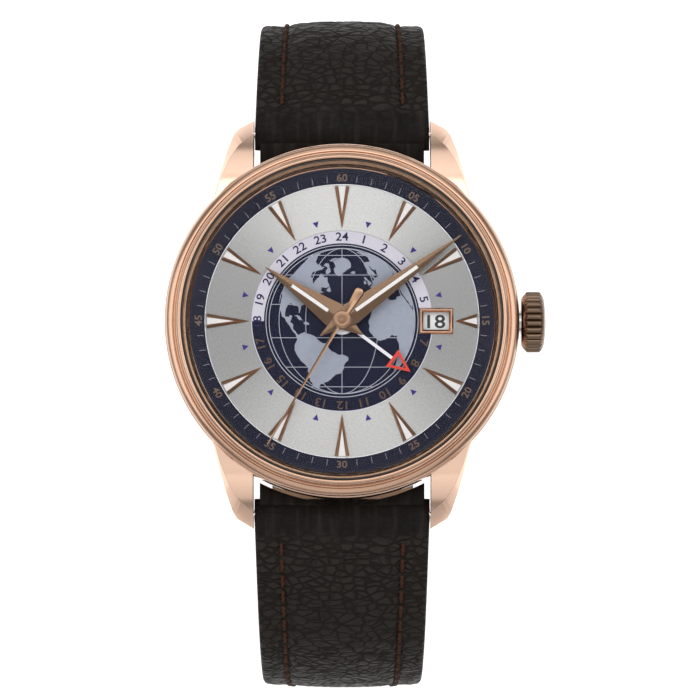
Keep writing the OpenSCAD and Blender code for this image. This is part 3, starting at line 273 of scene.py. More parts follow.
def lug_rails(t):
    """Plan lines of a lug from the case to its tip, t from 0 to 1, in millimetres: the facet's upper
    edge and its lower edge, each a smooth line through listed places."""
    stops = np.array([0.0, 0.1, 0.3, 0.5, 0.68, 0.84, 1.0])
    upper = [(15.35, 13.0), (14.98, 14.6), (14.3, 16.9), (13.4, 19.1), (12.35, 20.8), (11.35, 21.9),
             (10.5, 22.45)]
    lower = [(15.4, 13.0), (15.1, 14.8), (14.45, 17.4), (13.7, 20.1), (12.95, 22.3), (12.45, 23.15),
             (10.5, 24.3)]
    rails = []
    for rail in (np.array(upper), np.array(lower)):
        line = np.column_stack([np.interp(t, stops, rail[:, i]) for i in (0, 1)])
        for i in (0, 1):
            line[1:-1, i] = np.convolve(line[:, i], (0.25, 0.5, 0.25), "valid")
        rails.append(line)
    return rails


def lug(name, flip_x, flip_y):
    """A loft of cross-sections from the case to the tip: down the inner face, under the lug, up the
    outer wall, over the facet and back over the top. The top falls in one arc, z = c + sqrt(R^2 -
    (y - 14)^2), and the facet drops 1.45 mm for each millimetre that it is wide."""
    t = np.linspace(0, 1, 45)
    upper, lower = lug_rails(t)
    run, drop = 10.3, 6.6
    radius = (run**2 + drop**2) / (2 * drop)
    inner_x, facet_slope, sharp = 10.5, 1.45, 25

    def back(y):
        return 8.2 - radius + np.sqrt(radius**2 - np.maximum(0, y - 14) ** 2)

    inner_y = np.interp(t, [0, 1], [17.0, 22.45])
    under = np.interp(lower[:, 1], [13, 16, 22.6, 23.7, 24.3], [1.4, 1.2, -0.7, -0.8, -0.2])
    under_in = np.interp(inner_y, [13, 16, 22.6], [1.4, 1.2, -0.7])
    wide = np.linalg.norm(lower - upper, axis=1)
    ledge = np.maximum(back(upper[:, 1]) - facet_slope * wide, 1.4)
    rows = [(0 * t + inner_x, inner_y, back(inner_y)), (0 * t + inner_x, inner_y, under_in),
            (*lower.T, under), (*lower.T, ledge), (*upper.T, back(upper[:, 1]))]
    for k in np.linspace(0, 1, 7)[-2:0:-1]:
        x, y = inner_x + k * (upper[:, 0] - inner_x), inner_y + k * (upper[:, 1] - inner_y)
        rows.append((x, y, back(y)))
    grid = np.stack([np.column_stack(row) for row in rows], 1) * [flip_x * mm, flip_y * mm, mm]
    piece = outward(skin(name, grid, tube(len(t), len(rows)), lug_gold, sharp), welded=True)
    piece.data.set_sharp_from_angle(angle=math.radians(sharp))
    bevel(piece, 0.13, 3, 22, "MITER_SHARP")
    dressed(piece, "case")


for name, *side in (("lug_12_left", -1, 1), ("lug_12_right", 1, 1), ("lug_6_left", -1, -1),
                    ("lug_6_right", 1, -1)):
    lug(name, *side)

# Bezel
# The bezel is turned from plated steel in two steps with a groove between, softly polished, and
# pressed on the case middle. Inside, a slope leads down to the dial; its darker colour is painted shade.


def quarter(middle_r, middle_z, wide, high, start, end, steps):
    """Points of an ellipse about (middle_r, middle_z) from one angle to another, in degrees."""
    a = np.radians(np.linspace(start, end, steps))
    return list(zip(middle_r + wide * np.cos(a), middle_z + high * np.sin(a)))


def lathed(profile, sides):
    """Rings of points, one for each (radius, height) of a profile: (r cos a, r sin a, z)."""
    r, z = np.asarray(profile, float).T[:, :, None]
    a = around(sides)
    return np.stack([r * np.cos(a), r * np.sin(a), z + 0 * a], -1).reshape(-1, 3) * mm


def turned(name, profile, mat, sides=360, sharp=40):
    """A ring lathed about Z from a closed profile of (radius, height) in millimetres."""
    faces = net(len(profile), sides, True, True)
    return outward(skin(name, lathed(profile, sides), faces, mat, sharp))


bezel_section = ([(18.06, 8.4), (20.7, 8.4)] + quarter(19.86, 8.46, 0.89, 1.0, 0, 86, 18)
                 + [(19.84, 9.38), (19.78, 9.3), (19.68, 9.3), (19.62, 9.44)]
                 + quarter(19.14, 9.6, 0.46, 1.04, 8, 90, 14) + quarter(19.1, 10.4, 0.21, 0.24, 90, 180, 8)
                 + [(18.89, 9.2), (18.5, 9.2), (18.32, 9.1), (18.08, 8.62)])
# Painted shade: the bezel's gold is a darker copy of the case's rose gold, for the darker reflections on it.
bezel_gold_shaded = finish("rose_gold_bezel", (0.57, 0.365, 0.262), 1.0, 0.22, vary=0.03, scale=500, scuff=0.03)
# Painted shade: the slope inside the bezel takes a still darker copy of the gold.
shaded_slope_gold = finish("bezel_slope_painted_shade", (0.30, 0.185, 0.12), 1.0, 0.22, vary=0.15, scale=700, scuff=0.05)
bezel = turned("bezel_shown", bezel_section, bezel_gold_shaded, 512, 38)
bezel.data.materials.append(shaded_slope_gold)
slope_end = 18.8 * mm
centres = np.zeros((len(bezel.data.polygons), 3))
bezel.data.polygons.foreach_get("center", centres.reshape(-1))
on_the_slope = np.hypot(centres[:, 0], centres[:, 1]) < slope_end
bezel.data.polygons.foreach_set("material_index", on_the_slope.astype(np.int32))
dressed(bezel, "case", "bezel")

# Crystal and its gasket
# A domed sapphire crystal, clear and lightly coated against glare, is pressed into a dark
# plastic gasket in the bezel.


def clear_glass(name, index):
    """Thin clear glass: a mirror by Fresnel's share for that index, and clear for the rest."""
    mat = finish(name, (0.9, 0.94, 1), 1.0, 0.03)
    tree = mat.node_tree
    share = wired(tree, "Fresnel", {"IOR": index})
    open_part = wired(tree, "BsdfTransparent")
    gloss = tree.nodes["Principled BSDF"]
    both = wired(tree, "MixShader", {"Fac": share.outputs["Fac"], 1: open_part.outputs[0],
                                     2: gloss.outputs[0]})
    tree.links.new(both.outputs[0], tree.nodes["Material Output"].inputs["Surface"])
    return mat


def domed(radius, edge, rise, steps=24):
    """Profile points of a dome from its rim to its middle: z is edge + rise (1 - (r / radius)^2)."""
    return [(r, edge + rise * (1 - (r / radius) ** 2)) for r in np.linspace(radius, 0, steps)]


def poled(rings, sides):
    """Faces of rings of points closed at each end by a pole. The two poles come after the rings."""
    k, count = np.arange(sides), rings * sides
    beside, last = (k + 1) % sides, count - sides
    faces = net(rings, sides, False, True).tolist()
    faces += np.stack([0 * k + count, beside, k], -1).tolist()
    return faces + np.stack([0 * k + count + 1, last + k, last + beside], -1).tolist()


def turned_solid(name, profile, mat, sides=240, sharp=40):
    """A body lathed about Z whose profile starts and ends on the axis; each end closes in one pole.
    The end faces are wound against the rest while skin() marks sharp edges, so the edge round each
    end is sharp. outward() then turns them."""
    poles = np.array([[0, 0, profile[0][1]], [0, 0, profile[-1][1]]]) * mm
    points = np.vstack([lathed(profile[1:-1], sides), poles])
    faces = poled(len(profile) - 2, sides)
    side_count = len(faces) - 2 * sides
    faces = faces[:side_count] + [face[::-1] for face in faces[side_count:]]
    return outward(skin(name, points, faces, mat, sharp))


def eased(outline, radius, steps=4):
    """A closed 2-D outline whose corners are rounded by arcs: each corner is replaced by points of
    the quadratic curve that leaves one side and joins the next, radius away from the corner."""
    p = np.asarray(outline, float)
    before, after = np.roll(p, 1, 0) - p, np.roll(p, -1, 0) - p
    lb, la = np.linalg.norm(before, axis=1), np.linalg.norm(after, axis=1)
    reach = np.minimum(radius, 0.45 * np.minimum(lb, la))[:, None]
    start, end = p + before / lb[:, None] * reach, p + after / la[:, None] * reach
    t = np.linspace(0, 1, steps)[None, :, None]
    curve = (1 - t) ** 2 * start[:, None] + 2 * t * (1 - t) * p[:, None] + t**2 * end[:, None]
    return curve.reshape(-1, 2)


sapphire = clear_glass("crystal_glass", 1.1)
crystal_section = [(0, 9.2), (18.4, 9.2), (18.64, 9.4), (18.64, 10.4), (18.5, 10.55)]
crystal_section += domed(18.4, 10.57, 0.83)[1:]
dressed(turned_solid("crystal_shown", crystal_section, sapphire), "case", "crystal")
gasket_black = finish("gasket_plastic", (0.03, 0.02, 0.018), 0.0, 0.4, vary=0.3, scale=900, bump=0.00002)
gasket_section = eased([(18.65, 9.21), (18.88, 9.21), (18.88, 10.42), (18.82, 10.5), (18.7, 10.5),
                        (18.65, 10.42)], 0.04)
dressed(turned("crystal_gasket_shown", gasket_section, gasket_black), "case", "crystal_gasket")

# Dial
# A brass disc, silvered and brushed from its centre outwards so that light fans out over it. The
# date window is cut through it, and two feet hold it in the movement ring.


def sunburst(name, dark, bright):
    """Brushed metal whose scratches all run to the centre: the noise is read at (angle, a little of the
    radius), and the shader's stretch lies across the scratches. The colour holds painted light: bright
    fans at 12 and 6 o'clock and painted shade at 3 and 9, as the tone goes from dark to bright as (1 - cos 2
    angle) / 2."""
    mat = finish(name, bright, 0.85, 0.34)
    tree = mat.node_tree
    place = tree.nodes["Texture Coordinate"].outputs["Object"]

    def result_of(operation, *values):
        return wired(tree, "Math", dict(enumerate(values)), operation=operation).outputs[0]

    split = wired(tree, "SeparateXYZ", {0: place})
    angle = result_of("ARCTAN2", split.outputs["Y"], split.outputs["X"])
    reach = wired(tree, "VectorMath", {0: place}, operation="LENGTH")
    flat = wired(tree, "CombineXYZ", {"X": angle, "Y": result_of("MULTIPLY", reach.outputs["Value"], 120)})
    grain = wired(tree, "TexNoise", {"Vector": flat.outputs[0], "Scale": 55, "Detail": 6}).outputs["Fac"]
    scratches = ramp(tree, grain, (0.79, 0.79, 0.79), (1, 1, 1), 0.3, 0.7)
    # Painted light in the base colour: bright fans at 12 and 6 o'clock, painted shade at 3 and 9.
    wave = result_of("COSINE", result_of("MULTIPLY", angle, 2))
    painted_fans = wired(tree, "MapRange", {"Value": wave, "From Min": 1, "From Max": -1})
    tone = ramp(tree, painted_fans.outputs[0], dark, bright)
    tone.color_ramp.interpolation = "EASE"
    both = wired(tree, "MixRGB", {"Fac": 1, 1: tone.outputs["Color"], 2: scratches.outputs["Color"]},
                 blend_type="MULTIPLY")
    feed(tree, "Base Color", both.outputs[0])
    raised(tree, grain, 0.35, 0.000012)
    across = wired(tree, "Tangent", direction_type="RADIAL", axis="Z")
    feed(tree, "Tangent", across.outputs[0])
    tree.nodes["Principled BSDF"].inputs["Anisotropic"].default_value = 0.85
    return mat


def paint(node, mat):
    """Gives a CAD node's own mesh a material in every slot."""
    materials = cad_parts[node].data.materials
    if not materials:
        materials.append(mat)
    for i in range(len(materials)):
        materials[i] = mat


paint("dial", sunburst("dial_silver", (0.31, 0.31, 0.31), (0.54, 0.54, 0.535)))
dial_top = 6.9

# Prints on the dial
# The 24-hour ring, the globe and the triangles are pad-printed enamel. Each print is a film a
# few hundredths of a millimetre thick that stands on the dial or on the print under it.


def joined(parts):
    """Points and faces of several bodies, each (points, faces), as those of one mesh."""
    faces, base = [], 0
    for points, own in parts:
        faces += [[i + base for i in face] for face in own]
        base += len(points)
    return np.vstack([points for points, _ in parts]), faces


def film(name, shapes, low, high, mat, height=None):
    """A closed film over flat shapes. A shape is (points, faces, rims): its flat points are put at
    the height high and again at low, and each rim, a ring of point numbers, gets a wall. height, if
    given, is a function of x and y that is added to both, for a print on a slope."""
    parts = []
    for flat, tops, rims in shapes:
        flat = np.asarray(flat, float)
        n = len(flat)
        lift = height(flat[:, 0], flat[:, 1]) if height else 0
        sheets = [np.column_stack([flat, np.full(n, level) + lift]) for level in (high, low)]
        faces = list(tops) + [[i + n for i in reversed(f)] for f in tops]
        for rim in rims:
            faces += [[j, i, n + i, n + j] for i, j in zip(rim, list(rim[1:]) + [rim[0]])]
        parts.append((np.vstack(sheets), faces))
    points, faces = joined(parts)
    return skin(name, points * mm, faces, mat, 20)


def band(inner, outer, start=0.0, end=360.0, sides=180):
    """A flat ring or, between two clock angles, a part of one: points (r sin a, r cos a)."""
    whole = end - start >= 360
    a = np.radians(np.linspace(start, end, sides, endpoint=not whole))
    ring = [np.column_stack([r * np.sin(a), r * np.cos(a)]) for r in (inner, outer)]
    n = len(a)
    k = np.arange(n if whole else n - 1)
    j = (k + 1) % n
    tops = np.stack([k, j, n + j, n + k], -1).tolist()
    near, far = list(range(n)), list(range(2 * n - 1, n - 1, -1))
    return np.vstack(ring), tops, [near, far] if whole else [near + far]


def patch(outline):
    """One flat shape inside an outline that runs anticlockwise, cut into triangles."""
    p = np.asarray(outline, float)
    if (p[:, 0] * np.roll(p[:, 1], -1) - np.roll(p[:, 0], -1) * p[:, 1]).sum() < 0:
        p = p[::-1]
    tops = []
    for a, b, c in tessellate_polygon([[Vector((x, y, 0)) for x, y in p]]):
        turn = (p[b] - p[a])[0] * (p[c] - p[a])[1] - (p[b] - p[a])[1] * (p[c] - p[a])[0]
        tops.append([a, b, c] if turn > 0 else [a, c, b])
    return p, tops, [list(range(len(p)))]


def stroke(path, width):
    """A ribbon of that width along a flat open path, as one patch."""
    p = np.asarray(path, float)
    d = np.gradient(p, axis=0)
    d /= np.linalg.norm(d, axis=1)[:, None]
    side = np.column_stack([-d[:, 1], d[:, 0]]) * width / 2
    n = len(p)
    k = np.arange(n - 1)
    tops = np.stack([k, k + 1, n + k + 1, n + k], -1).tolist()
    return np.vstack([p - side, p + side]), tops, [list(range(n)) + list(range(2 * n - 1, n - 1, -1))]


inks = {}
for name, colour, roughness, vary, scale, bump in (
        ("enamel_white", (0.60, 0.58, 0.66), 0.45, 0.02, 2500, 0.000003),
        ("enamel_line", (0.30, 0.29, 0.30), 0.45, 0.02, 2500, 0),
        ("enamel_navy", (0.0055, 0.007, 0.027), 0.45, 0.15, 2500, 0.000003),
        ("enamel_rim", (0.44, 0.46, 0.53), 0.45, 0.05, 2500, 0),
        ("enamel_sea", (0.0035, 0.0055, 0.026), 0.4, 0.12, 1500, 0.000003),
        ("enamel_land", (0.32, 0.345, 0.42), 0.45, 0.05, 1800, 0.000004),
        ("print_indigo", (0.018, 0.013, 0.075), 0.4, 0.08, 4000, 0),
        ("print_violet", (0.040, 0.028, 0.21), 0.4, 0.08, 4000, 0),
        ("print_bronze", (0.105, 0.066, 0.044), 0.4, 0.1, 4000, 0)):
    inks[name] = finish(name, colour, 0.0, roughness, vary=vary, scale=scale, bump=bump, specular=0.15)


def printed(name, shapes, low, high, ink):
    """A film of ink between two heights over the dial."""
    dressed(film(name, shapes, dial_top + low, dial_top + high, inks[ink]), "case")


window_turn = 7.2
day, night = (-90, 90 - window_turn, 160), (90 + window_turn, 270, 160)
printed("hours_day_half", [band(9.14, 10.68, *day)], 0, 0.014, "enamel_white")
printed("hours_day_edge", [band(10.66, 10.72, *day)], 0, 0.016, "enamel_line")
printed("hours_night_half", [band(9.14, 10.62, *night)], 0, 0.014, "enamel_navy")
printed("hours_night_edge", [band(10.62, 10.72, *night)], 0, 0.016, "enamel_white")
printed("globe_sea", [band(1.5, 9.16, sides=240)], 0.002, 0.018, "enamel_sea")
printed("globe_rims", [band(8.93, 9.02, sides=240), band(8.56, 8.64, sides=240)], 0.018, 0.024, "enamel_rim")
printed("globe_shadow_ring", [band(9.06, 9.2, sides=240)], 0.016, 0.026, "enamel_navy")

# Globe
# The land and the lines over the sea are two more printings. The coasts are a rough general map,
# seen from straight above the mid Atlantic.
map_longitude, map_latitude, globe_r = -40.0, 24.0, 8.58
coasts = {
    "americas": [(-168, 66), (-156, 71), (-141, 70), (-128, 70), (-115, 68), (-104, 68), (-95, 69),
        (-88, 68), (-82, 69), (-82, 66), (-87, 64), (-94, 60), (-92, 57), (-85, 55), (-82, 53), (-79, 51),
        (-79, 55), (-77, 58), (-78, 62), (-72, 61), (-68, 59), (-64, 60), (-61, 56), (-56, 52), (-60, 50),
        (-66, 50), (-65, 47), (-61, 46), (-66, 44), (-70, 43), (-71, 41), (-75, 39), (-76, 35), (-81, 31),
        (-80, 26), (-81, 25), (-83, 29), (-85, 30), (-90, 29), (-94, 30), (-97, 27), (-97, 22), (-95, 18),
        (-91, 19), (-90, 21), (-87, 21), (-88, 16), (-84, 15), (-83, 11), (-79, 9), (-77, 8), (-75, 10),
        (-72, 12), (-71, 11), (-67, 11), (-62, 10), (-57, 6), (-52, 5), (-50, 1), (-48, -1), (-44, -3),
        (-38, -4), (-35, -6), (-35, -9), (-38, -13), (-39, -18), (-41, -22), (-46, -24), (-49, -28),
        (-53, -33), (-57, -35), (-58, -38), (-62, -39), (-65, -43), (-67, -47), (-69, -52), (-72, -54),
        (-75, -50), (-73, -42), (-73, -36), (-71, -28), (-70, -19), (-76, -14), (-81, -6), (-80, 0),
        (-78, 4), (-80, 8), (-84, 10), (-88, 13), (-94, 16), (-100, 17), (-105, 20), (-107, 24),
        (-113, 31), (-115, 30), (-110, 23), (-115, 28), (-118, 34), (-122, 37), (-124, 43), (-124, 48),
        (-130, 54), (-138, 59), (-150, 60), (-160, 58)],
    "greenland": [(-82, 79), (-74, 82), (-58, 84), (-40, 85), (-20, 84), (-8, 81), (-10, 77), (-13, 74),
        (-18, 71), (-29, 69), (-37, 66), (-42, 62.5), (-49, 63), (-55, 66), (-59, 69.5), (-57, 72),
        (-63, 75), (-72, 77)],
    "north_isle": [(-90, 73), (-82, 74), (-74, 72), (-67, 69), (-62, 66), (-65, 63), (-69, 63), (-73, 66),
        (-73, 69), (-80, 70), (-88, 70)],
    "far_isle": [(-90, 77), (-80, 77), (-76, 79), (-68, 81), (-64, 83), (-80, 83), (-92, 81)],
    "ice_isle": [(-24, 65.5), (-22, 64), (-18, 63.4), (-14, 65), (-16, 66.5), (-21, 66)],
    "new_isle": [(-59, 48), (-57, 51), (-55, 51), (-53, 48), (-55, 46.8)],
    "long_isle": [(-85, 22), (-82, 23.2), (-78, 22.4), (-74.4, 20.2), (-78, 20), (-82, 22.1)],
    "twin_isle": [(-74.4, 18.4), (-72.5, 20), (-69, 19.6), (-68.4, 18.4), (-71, 17.8)],
    "west_isle": [(-10, 52), (-6.4, 52.2), (-6, 55), (-8.4, 55.2)],
    "britain": [(-5.4, 50), (-1, 50.6), (1.2, 51.2), (0.2, 53), (-1.6, 55), (-2, 57.4), (-4, 58.6),
        (-5.8, 57.4), (-4.6, 55), (-3.2, 54.2), (-4.6, 53), (-4.8, 51.8)],
    "africa": [(-6, 35.8), (-9.8, 31), (-13, 27.6), (-17, 21), (-16.4, 18), (-17.4, 14.6), (-15, 11),
        (-12, 7.6), (-8, 4.4), (-2, 4.9), (3, 6.4), (6, 4.4), (9.4, 4), (9.2, 0), (12, -5), (13.6, -11),
        (12, -17), (15, -26), (18, -33), (20, -34.6), (26, -33.8), (31, -29.4), (35.4, -23), (36, -18),
        (40.4, -14), (39, -7), (43, -1), (51, 11.6), (43.4, 11.6), (37.4, 20), (33.6, 28), (32.4, 31),
        (29, 31.2), (23, 32.4), (20, 31), (15.6, 32), (11, 33.6), (10.6, 37), (3, 36.8)],
    "asia_west": [(35, 29), (39, 21), (43.4, 13), (52, 16.6), (59.6, 22), (70, 24), (75, 45), (60, 47),
        (41, 41.4), (35, 42), (29, 41), (26.6, 39), (28, 36.8), (36, 36.4), (34.6, 31.8)],
    "europe": [(-9, 37), (-9.2, 43), (-2, 43.4), (-1.2, 46), (-4.6, 48.4), (-1.4, 49.2), (1.6, 50.6),
        (4.6, 52.6), (8.4, 53.8), (8.2, 57), (10.4, 57.4), (10.8, 54.4), (14, 54.2), (19.6, 54.6),
        (21.4, 57.2), (24, 58.8), (29, 60), (22.6, 60.2), (21.4, 62.6), (25, 65.2), (22, 65.4),
        (17.4, 61.6), (18.6, 59.8), (16.4, 56.8), (12.8, 55.8), (11, 59), (7, 58.2), (5.2, 61),
        (11, 64.6), (17, 68.6), (26, 71), (40, 67.4), (46, 68), (60, 69), (70, 73), (90, 76), (90, 55),
        (60, 46), (47, 46), (38, 47), (31, 46.4), (28.4, 43.4), (26, 41), (23.4, 40.4), (23, 37.2),
        (21.4, 37.4), (19.6, 41), (14, 45.2), (13.2, 44), (18.2, 40.2), (16.4, 38.4), (12.2, 42),
        (8.8, 44.2), (4, 43.2), (2.8, 41.4), (-0.4, 39), (-2, 36.8), (-5.4, 36.2)],
    "great_isle": [(44, -25), (47, -24.6), (50, -16), (49, -12.4), (44.4, -17)],
}


def seen_on_globe(longitude, latitude):
    """Flat place of a point on the globe, seen from far above the map's middle. A point behind the
    rim is moved out to it: with q the angle from the middle, its radius is sin q, or 1 past 90."""
    lo, la = np.radians(np.asarray(longitude) - map_longitude), np.radians(latitude)
    mid = math.radians(map_latitude)
    x = np.cos(la) * np.sin(lo)
    y = np.sin(la) * math.cos(mid) - np.cos(la) * math.sin(mid) * np.cos(lo)
    front = np.sin(la) * math.sin(mid) + np.cos(la) * math.cos(mid) * np.cos(lo)
    out = np.maximum(np.hypot(x, y), 1e-6)
    far = np.where(front < 0, 1 / out, 1.0)
    return np.column_stack([x * far, y * far]) * globe_r


def ragged(coast, seed, step=1.6, rough=0.55):
    """Puts points about every step degrees along a coast and shifts each by a seeded random part."""
    p = np.asarray(coast, float)
    q = np.roll(p, -1, 0)
    rng = np.random.default_rng(seed)
    parts = []
    for a, b in zip(p, q):
        n = max(1, int(np.linalg.norm((b - a) * [math.cos(math.radians(a[1])), 1]) / step))
        t = np.arange(n)[:, None] / n
        parts.append(a + t * (b - a) + rng.uniform(-rough, rough, (n, 2)) * np.minimum(1, t * 4))
    return np.vstack(parts)


lands = []
for seed, coast in enumerate(coasts.values()):
    flat = seen_on_globe(*ragged(coast, seed).T)
    keep = np.linalg.norm(flat - np.roll(flat, 1, 0), axis=1) > 0.004
    if keep.sum() > 3:
        lands.append(patch(flat[keep]))
printed("globe_lands", lands, 0.018, 0.026, "enamel_land")

lines, line_width = [], 0.07
a = np.radians(np.linspace(-90, 90, 61))
for meridian in (-60, -30, 0, 30, 60):
    bow = math.sin(math.radians(meridian))
    lines.append(stroke(np.column_stack([np.cos(a) * bow, np.sin(a)]) * globe_r, line_width))
for level in (-0.905, -0.635, -0.23, 0.23, 0.635, 0.905):
    half = math.sqrt(1 - level**2)
    path = np.column_stack([np.linspace(-half, half, 21), np.full(21, level)])
    lines.append(stroke(path * globe_r, line_width))
printed("globe_lines", lines, 0.018, 0.022, "enamel_rim")

# Numerals and triangles
# Numbers of the 24 hours, printed with their tops outwards, and a small indigo triangle between
# each pair of hours.


def digits(text):
    """The outline of a number in Blender's own plain face as a flat closed film of height 1, centred:
    a list of its points (x, y, 0 or 1) and its faces."""
    letters = bpy.data.curves.new("number", "FONT")
    letters.body = text
    letters.extrude = 0.5
    letters.offset = 0.014
    letters.resolution_u = 3
    maker = placed("number", letters)
    bpy.context.view_layer.update()
    shape = bmesh.new()
    shape.from_mesh(maker.to_mesh())
    maker.to_mesh_clear()
    bmesh.ops.remove_doubles(shape, verts=shape.verts, dist=1e-5)
    bmesh.ops.recalc_face_normals(shape, faces=shape.faces)
    shape.verts.index_update()
    points = np.array([v.co[:] for v in shape.verts])
    faces = [[v.index for v in f.verts] for f in shape.faces]
    shape.free()
    bpy.data.objects.remove(maker)
    bpy.data.curves.remove(letters)
    flat = points[:, :2]
    points[:, :2] = (flat - (flat.min(0) + flat.max(0)) / 2) / np.ptp(flat[:, 1])
    points[:, 2] = np.where(points[:, 2] > 0, 1.0, 0.0)
    return points, faces


def clock_axes(angle):
    """Directions outwards and clockwise at a clock angle."""
    a = math.radians(angle)
    return np.array([math.sin(a), math.cos(a)]), np.array([math.cos(a), -math.sin(a)])


def numbers(name, entries, tall, radius, low, thick, mat, height=None):
    """Numbers round a circle: entries are (text, clock angle, whether the top points inwards)."""
    parts = []
    for text, at, inward in entries:
        p, faces = digits(text)
        out, side = clock_axes(at)
        turn = -1 if inward else 1
        flat = radius * out + tall * turn * (1.12 * p[:, :1] * side + p[:, 1:2] * out)
        lift = height(flat[:, 0], flat[:, 1]) if height else 0
        parts.append((np.column_stack([flat, low + thick * p[:, 2] + lift]), faces))
    points, faces = joined(parts)
    return skin(name, points * mm, faces, mat, 20)


def pointer(at, radius=11.78, size=0.72):
    """A triangle that points to the centre at a clock angle."""
    out, side = clock_axes(at)
    return patch([radius * out - out * size * 0.55, radius * out + (out * 0.45 + side * 0.5) * size,
                  radius * out + (out * 0.45 - side * 0.5) * size])


film_low = dial_top + 0.014
day_entries = [(str(h), (h % 24) * 15, False) for h in (19, 20, 21, 22, 23, 24, 1, 2, 3, 4, 5, 18)]
night_entries = [(str(h), h * 15, False) for h in range(7, 18)]
for name, entries, radius, ink in (("hours_day_numbers", day_entries, 10.0, "print_indigo"),
                                   ("hours_night_numbers", night_entries, 9.96, "print_bronze")):
    dressed(numbers(name, entries, 1.0, radius, film_low, 0.008, inks[ink]), "case")
printed("hour_triangles", [pointer(15 + 30 * k) for k in range(12)], 0, 0.01, "print_violet")

# Chapter ring
# A navy ring that slopes up from the dial to the bezel, turned from brass and lacquered, with a
# polished inner edge. Its minutes and fives are printed in bronze.
navy_lacquer = finish("navy_lacquer", (0.016, 0.017, 0.036), 0.1, 0.4, vary=0.12, scale=1800,
                      bump=0.000003, specular=0.25)
print_tick = finish("print_tick", (0.27, 0.25, 0.29), 0.0, 0.4, vary=0.08, scale=4000)
print_fives = finish("print_fives", (0.19, 0.12, 0.08), 0.0, 0.4, vary=0.1, scale=4000)
silver_edge = finish("silver_edge", (0.80, 0.80, 0.82), 1.0, 0.15, vary=0.03, scale=900)
slope_section = eased([(16.2, 6.91), (17.99, 6.91), (17.99, 8.02), (17.8, 8.0), (16.2, 7.02)], 0.03)
rim_section = eased([(16.08, 6.905), (16.2, 6.905), (16.2, 7.05), (16.12, 7.05)], 0.02)
rise = (8.0 - 7.02) / (17.8 - 16.2)


def on_slope(x, y):
    """Height of the chapter ring's cone over a flat point."""
    return 7.02 + (np.hypot(x, y) - 16.2) * rise


def minute_tick(minute):
    """A thin line along the radius with a small foot at its inner end."""
    out, side = clock_axes(minute * 6)
    shape = [(16.42, -0.1), (16.46, 0.035), (17.16, 0.035), (17.16, -0.035), (16.52, -0.035), (16.49, -0.1)]
    return patch([r * out + s * side for r, s in shape])


ticks = [minute_tick(m) for m in range(60) if m % 5]
fives = [(f"{m:02d}", m * 6, 15 < m < 45) for m in range(5, 65, 5)]
dressed(turned("chapter_ring_shown", slope_section, navy_lacquer, 512, 30), "case",
        "chapter_ring")
for piece in (turned("chapter_rim", rim_section, silver_edge, 512),
              film("minute_ticks", ticks, -0.01, 0.012, print_tick, on_slope),
              numbers("minute_numbers", fives, 0.86, 16.93, -0.01, 0.022, print_fives, on_slope)):
    dressed(piece, "case")

# Hour markers
# Twelve applied markers of plated brass, the one at 3 short. Each has two ridged arms that meet in a
# point towards the centre, white luminous paint between them, and pins through the dial.
marker_gold = finish("rose_gold_markers", (0.42, 0.245, 0.15), 1.0, 0.3, vary=0.05, scale=700, scuff=0.03)
lume_white = finish("lume_white", (0.82, 0.80, 0.80), 0.0, 0.6, vary=0.03, scale=3000, bump=0.00001)


def at_clock(points, angle):
    """Turns points that lie with +Y outwards to a clock angle: x' = x cos a + y sin a."""
    a = math.radians(angle)
    p = np.asarray(points, float)
    return np.column_stack([p[:, 0] * math.cos(a) + p[:, 1] * math.sin(a),
                            -p[:, 0] * math.sin(a) + p[:, 1] * math.cos(a), p[:, 2]])


def marker_arm(tip, end, half, side):
    """One arm: a five-sided section (foot, flank, ridge, flank, foot) carried from the tip to the
    open end. At u of the way its outer edge is at half u, and its inner edge leaves the middle
    line at a third of the way."""
    rows = []
    for u in (0.0, 0.07, 0.32, 0.7, 1.0):
        r = tip + u * (end - tip)
        outer = half * u + 0.03
        inner = max(0.0, (u - 0.30) / 0.70 * (half - 0.40))
        grown = min(1, u / 0.3)
        rows.append([(outer, r, 0.0), (outer, r, 0.14), ((outer + inner) / 2, r, 0.16 + 0.24 * grown),
                     (inner, r, 0.16 + 0.10 * grown), (inner, r, 0.0)])
    grid = np.array(rows) * [side, 1, 1]
    return (grid[:, ::side] + [0, 0, dial_top]).reshape(-1, 3), tube(5, 5)


arms, fills = [], []
outer_end, brink = 15.95, 0.41
for angle, tip, half in [(30 * h, 11.0, 0.85) for h in range(1, 13) if h != 3] + [(90, 13.4, 0.85)]:
    for side in (1, -1):
        points, faces = marker_arm(tip, outer_end, half, side)
        arms.append((at_clock(points, angle), faces))
    start, wide, far = tip + 0.34 * (outer_end - tip), half - brink, outer_end - 0.03
    fills.append(patch(at_clock([(0, start, 0), (wide, far, 0), (-wide, far, 0)], angle)[:, :2]))
points, faces = joined(arms)
dressed(outward(skin("hour_markers_shown", points * mm, faces, marker_gold, 12)), "case",
        "hour_markers")
lume = film("marker_lume_shown", fills, dial_top, dial_top + 0.2, lume_white)
dressed(lume, "case", "marker_lume")

# Date window and date ring
# A bevelled frame of plated brass stands round the window. Under it turns the white date ring,
# printed in black with its 31 numbers.
frame_gold = finish("rose_gold_frame", (0.66, 0.41, 0.29), 1.0, 0.12, vary=0.05, scale=700, scuff=0.03)
date_white = finish("date_white", (0.86, 0.86, 0.87), 0.0, 0.4, vary=0.02, scale=1500, bump=0.000003)
date_ink = finish("date_ink", (0.01, 0.01, 0.012), 0.0, 0.4, vary=0.2, scale=3000)


def oblong(half_x, half_y, corner, steps):
    """A rectangle about the origin with rounded corners."""
    return eased([(-half_x, -half_y), (half_x, -half_y), (half_x, half_y), (-half_x, half_y)], corner, steps)


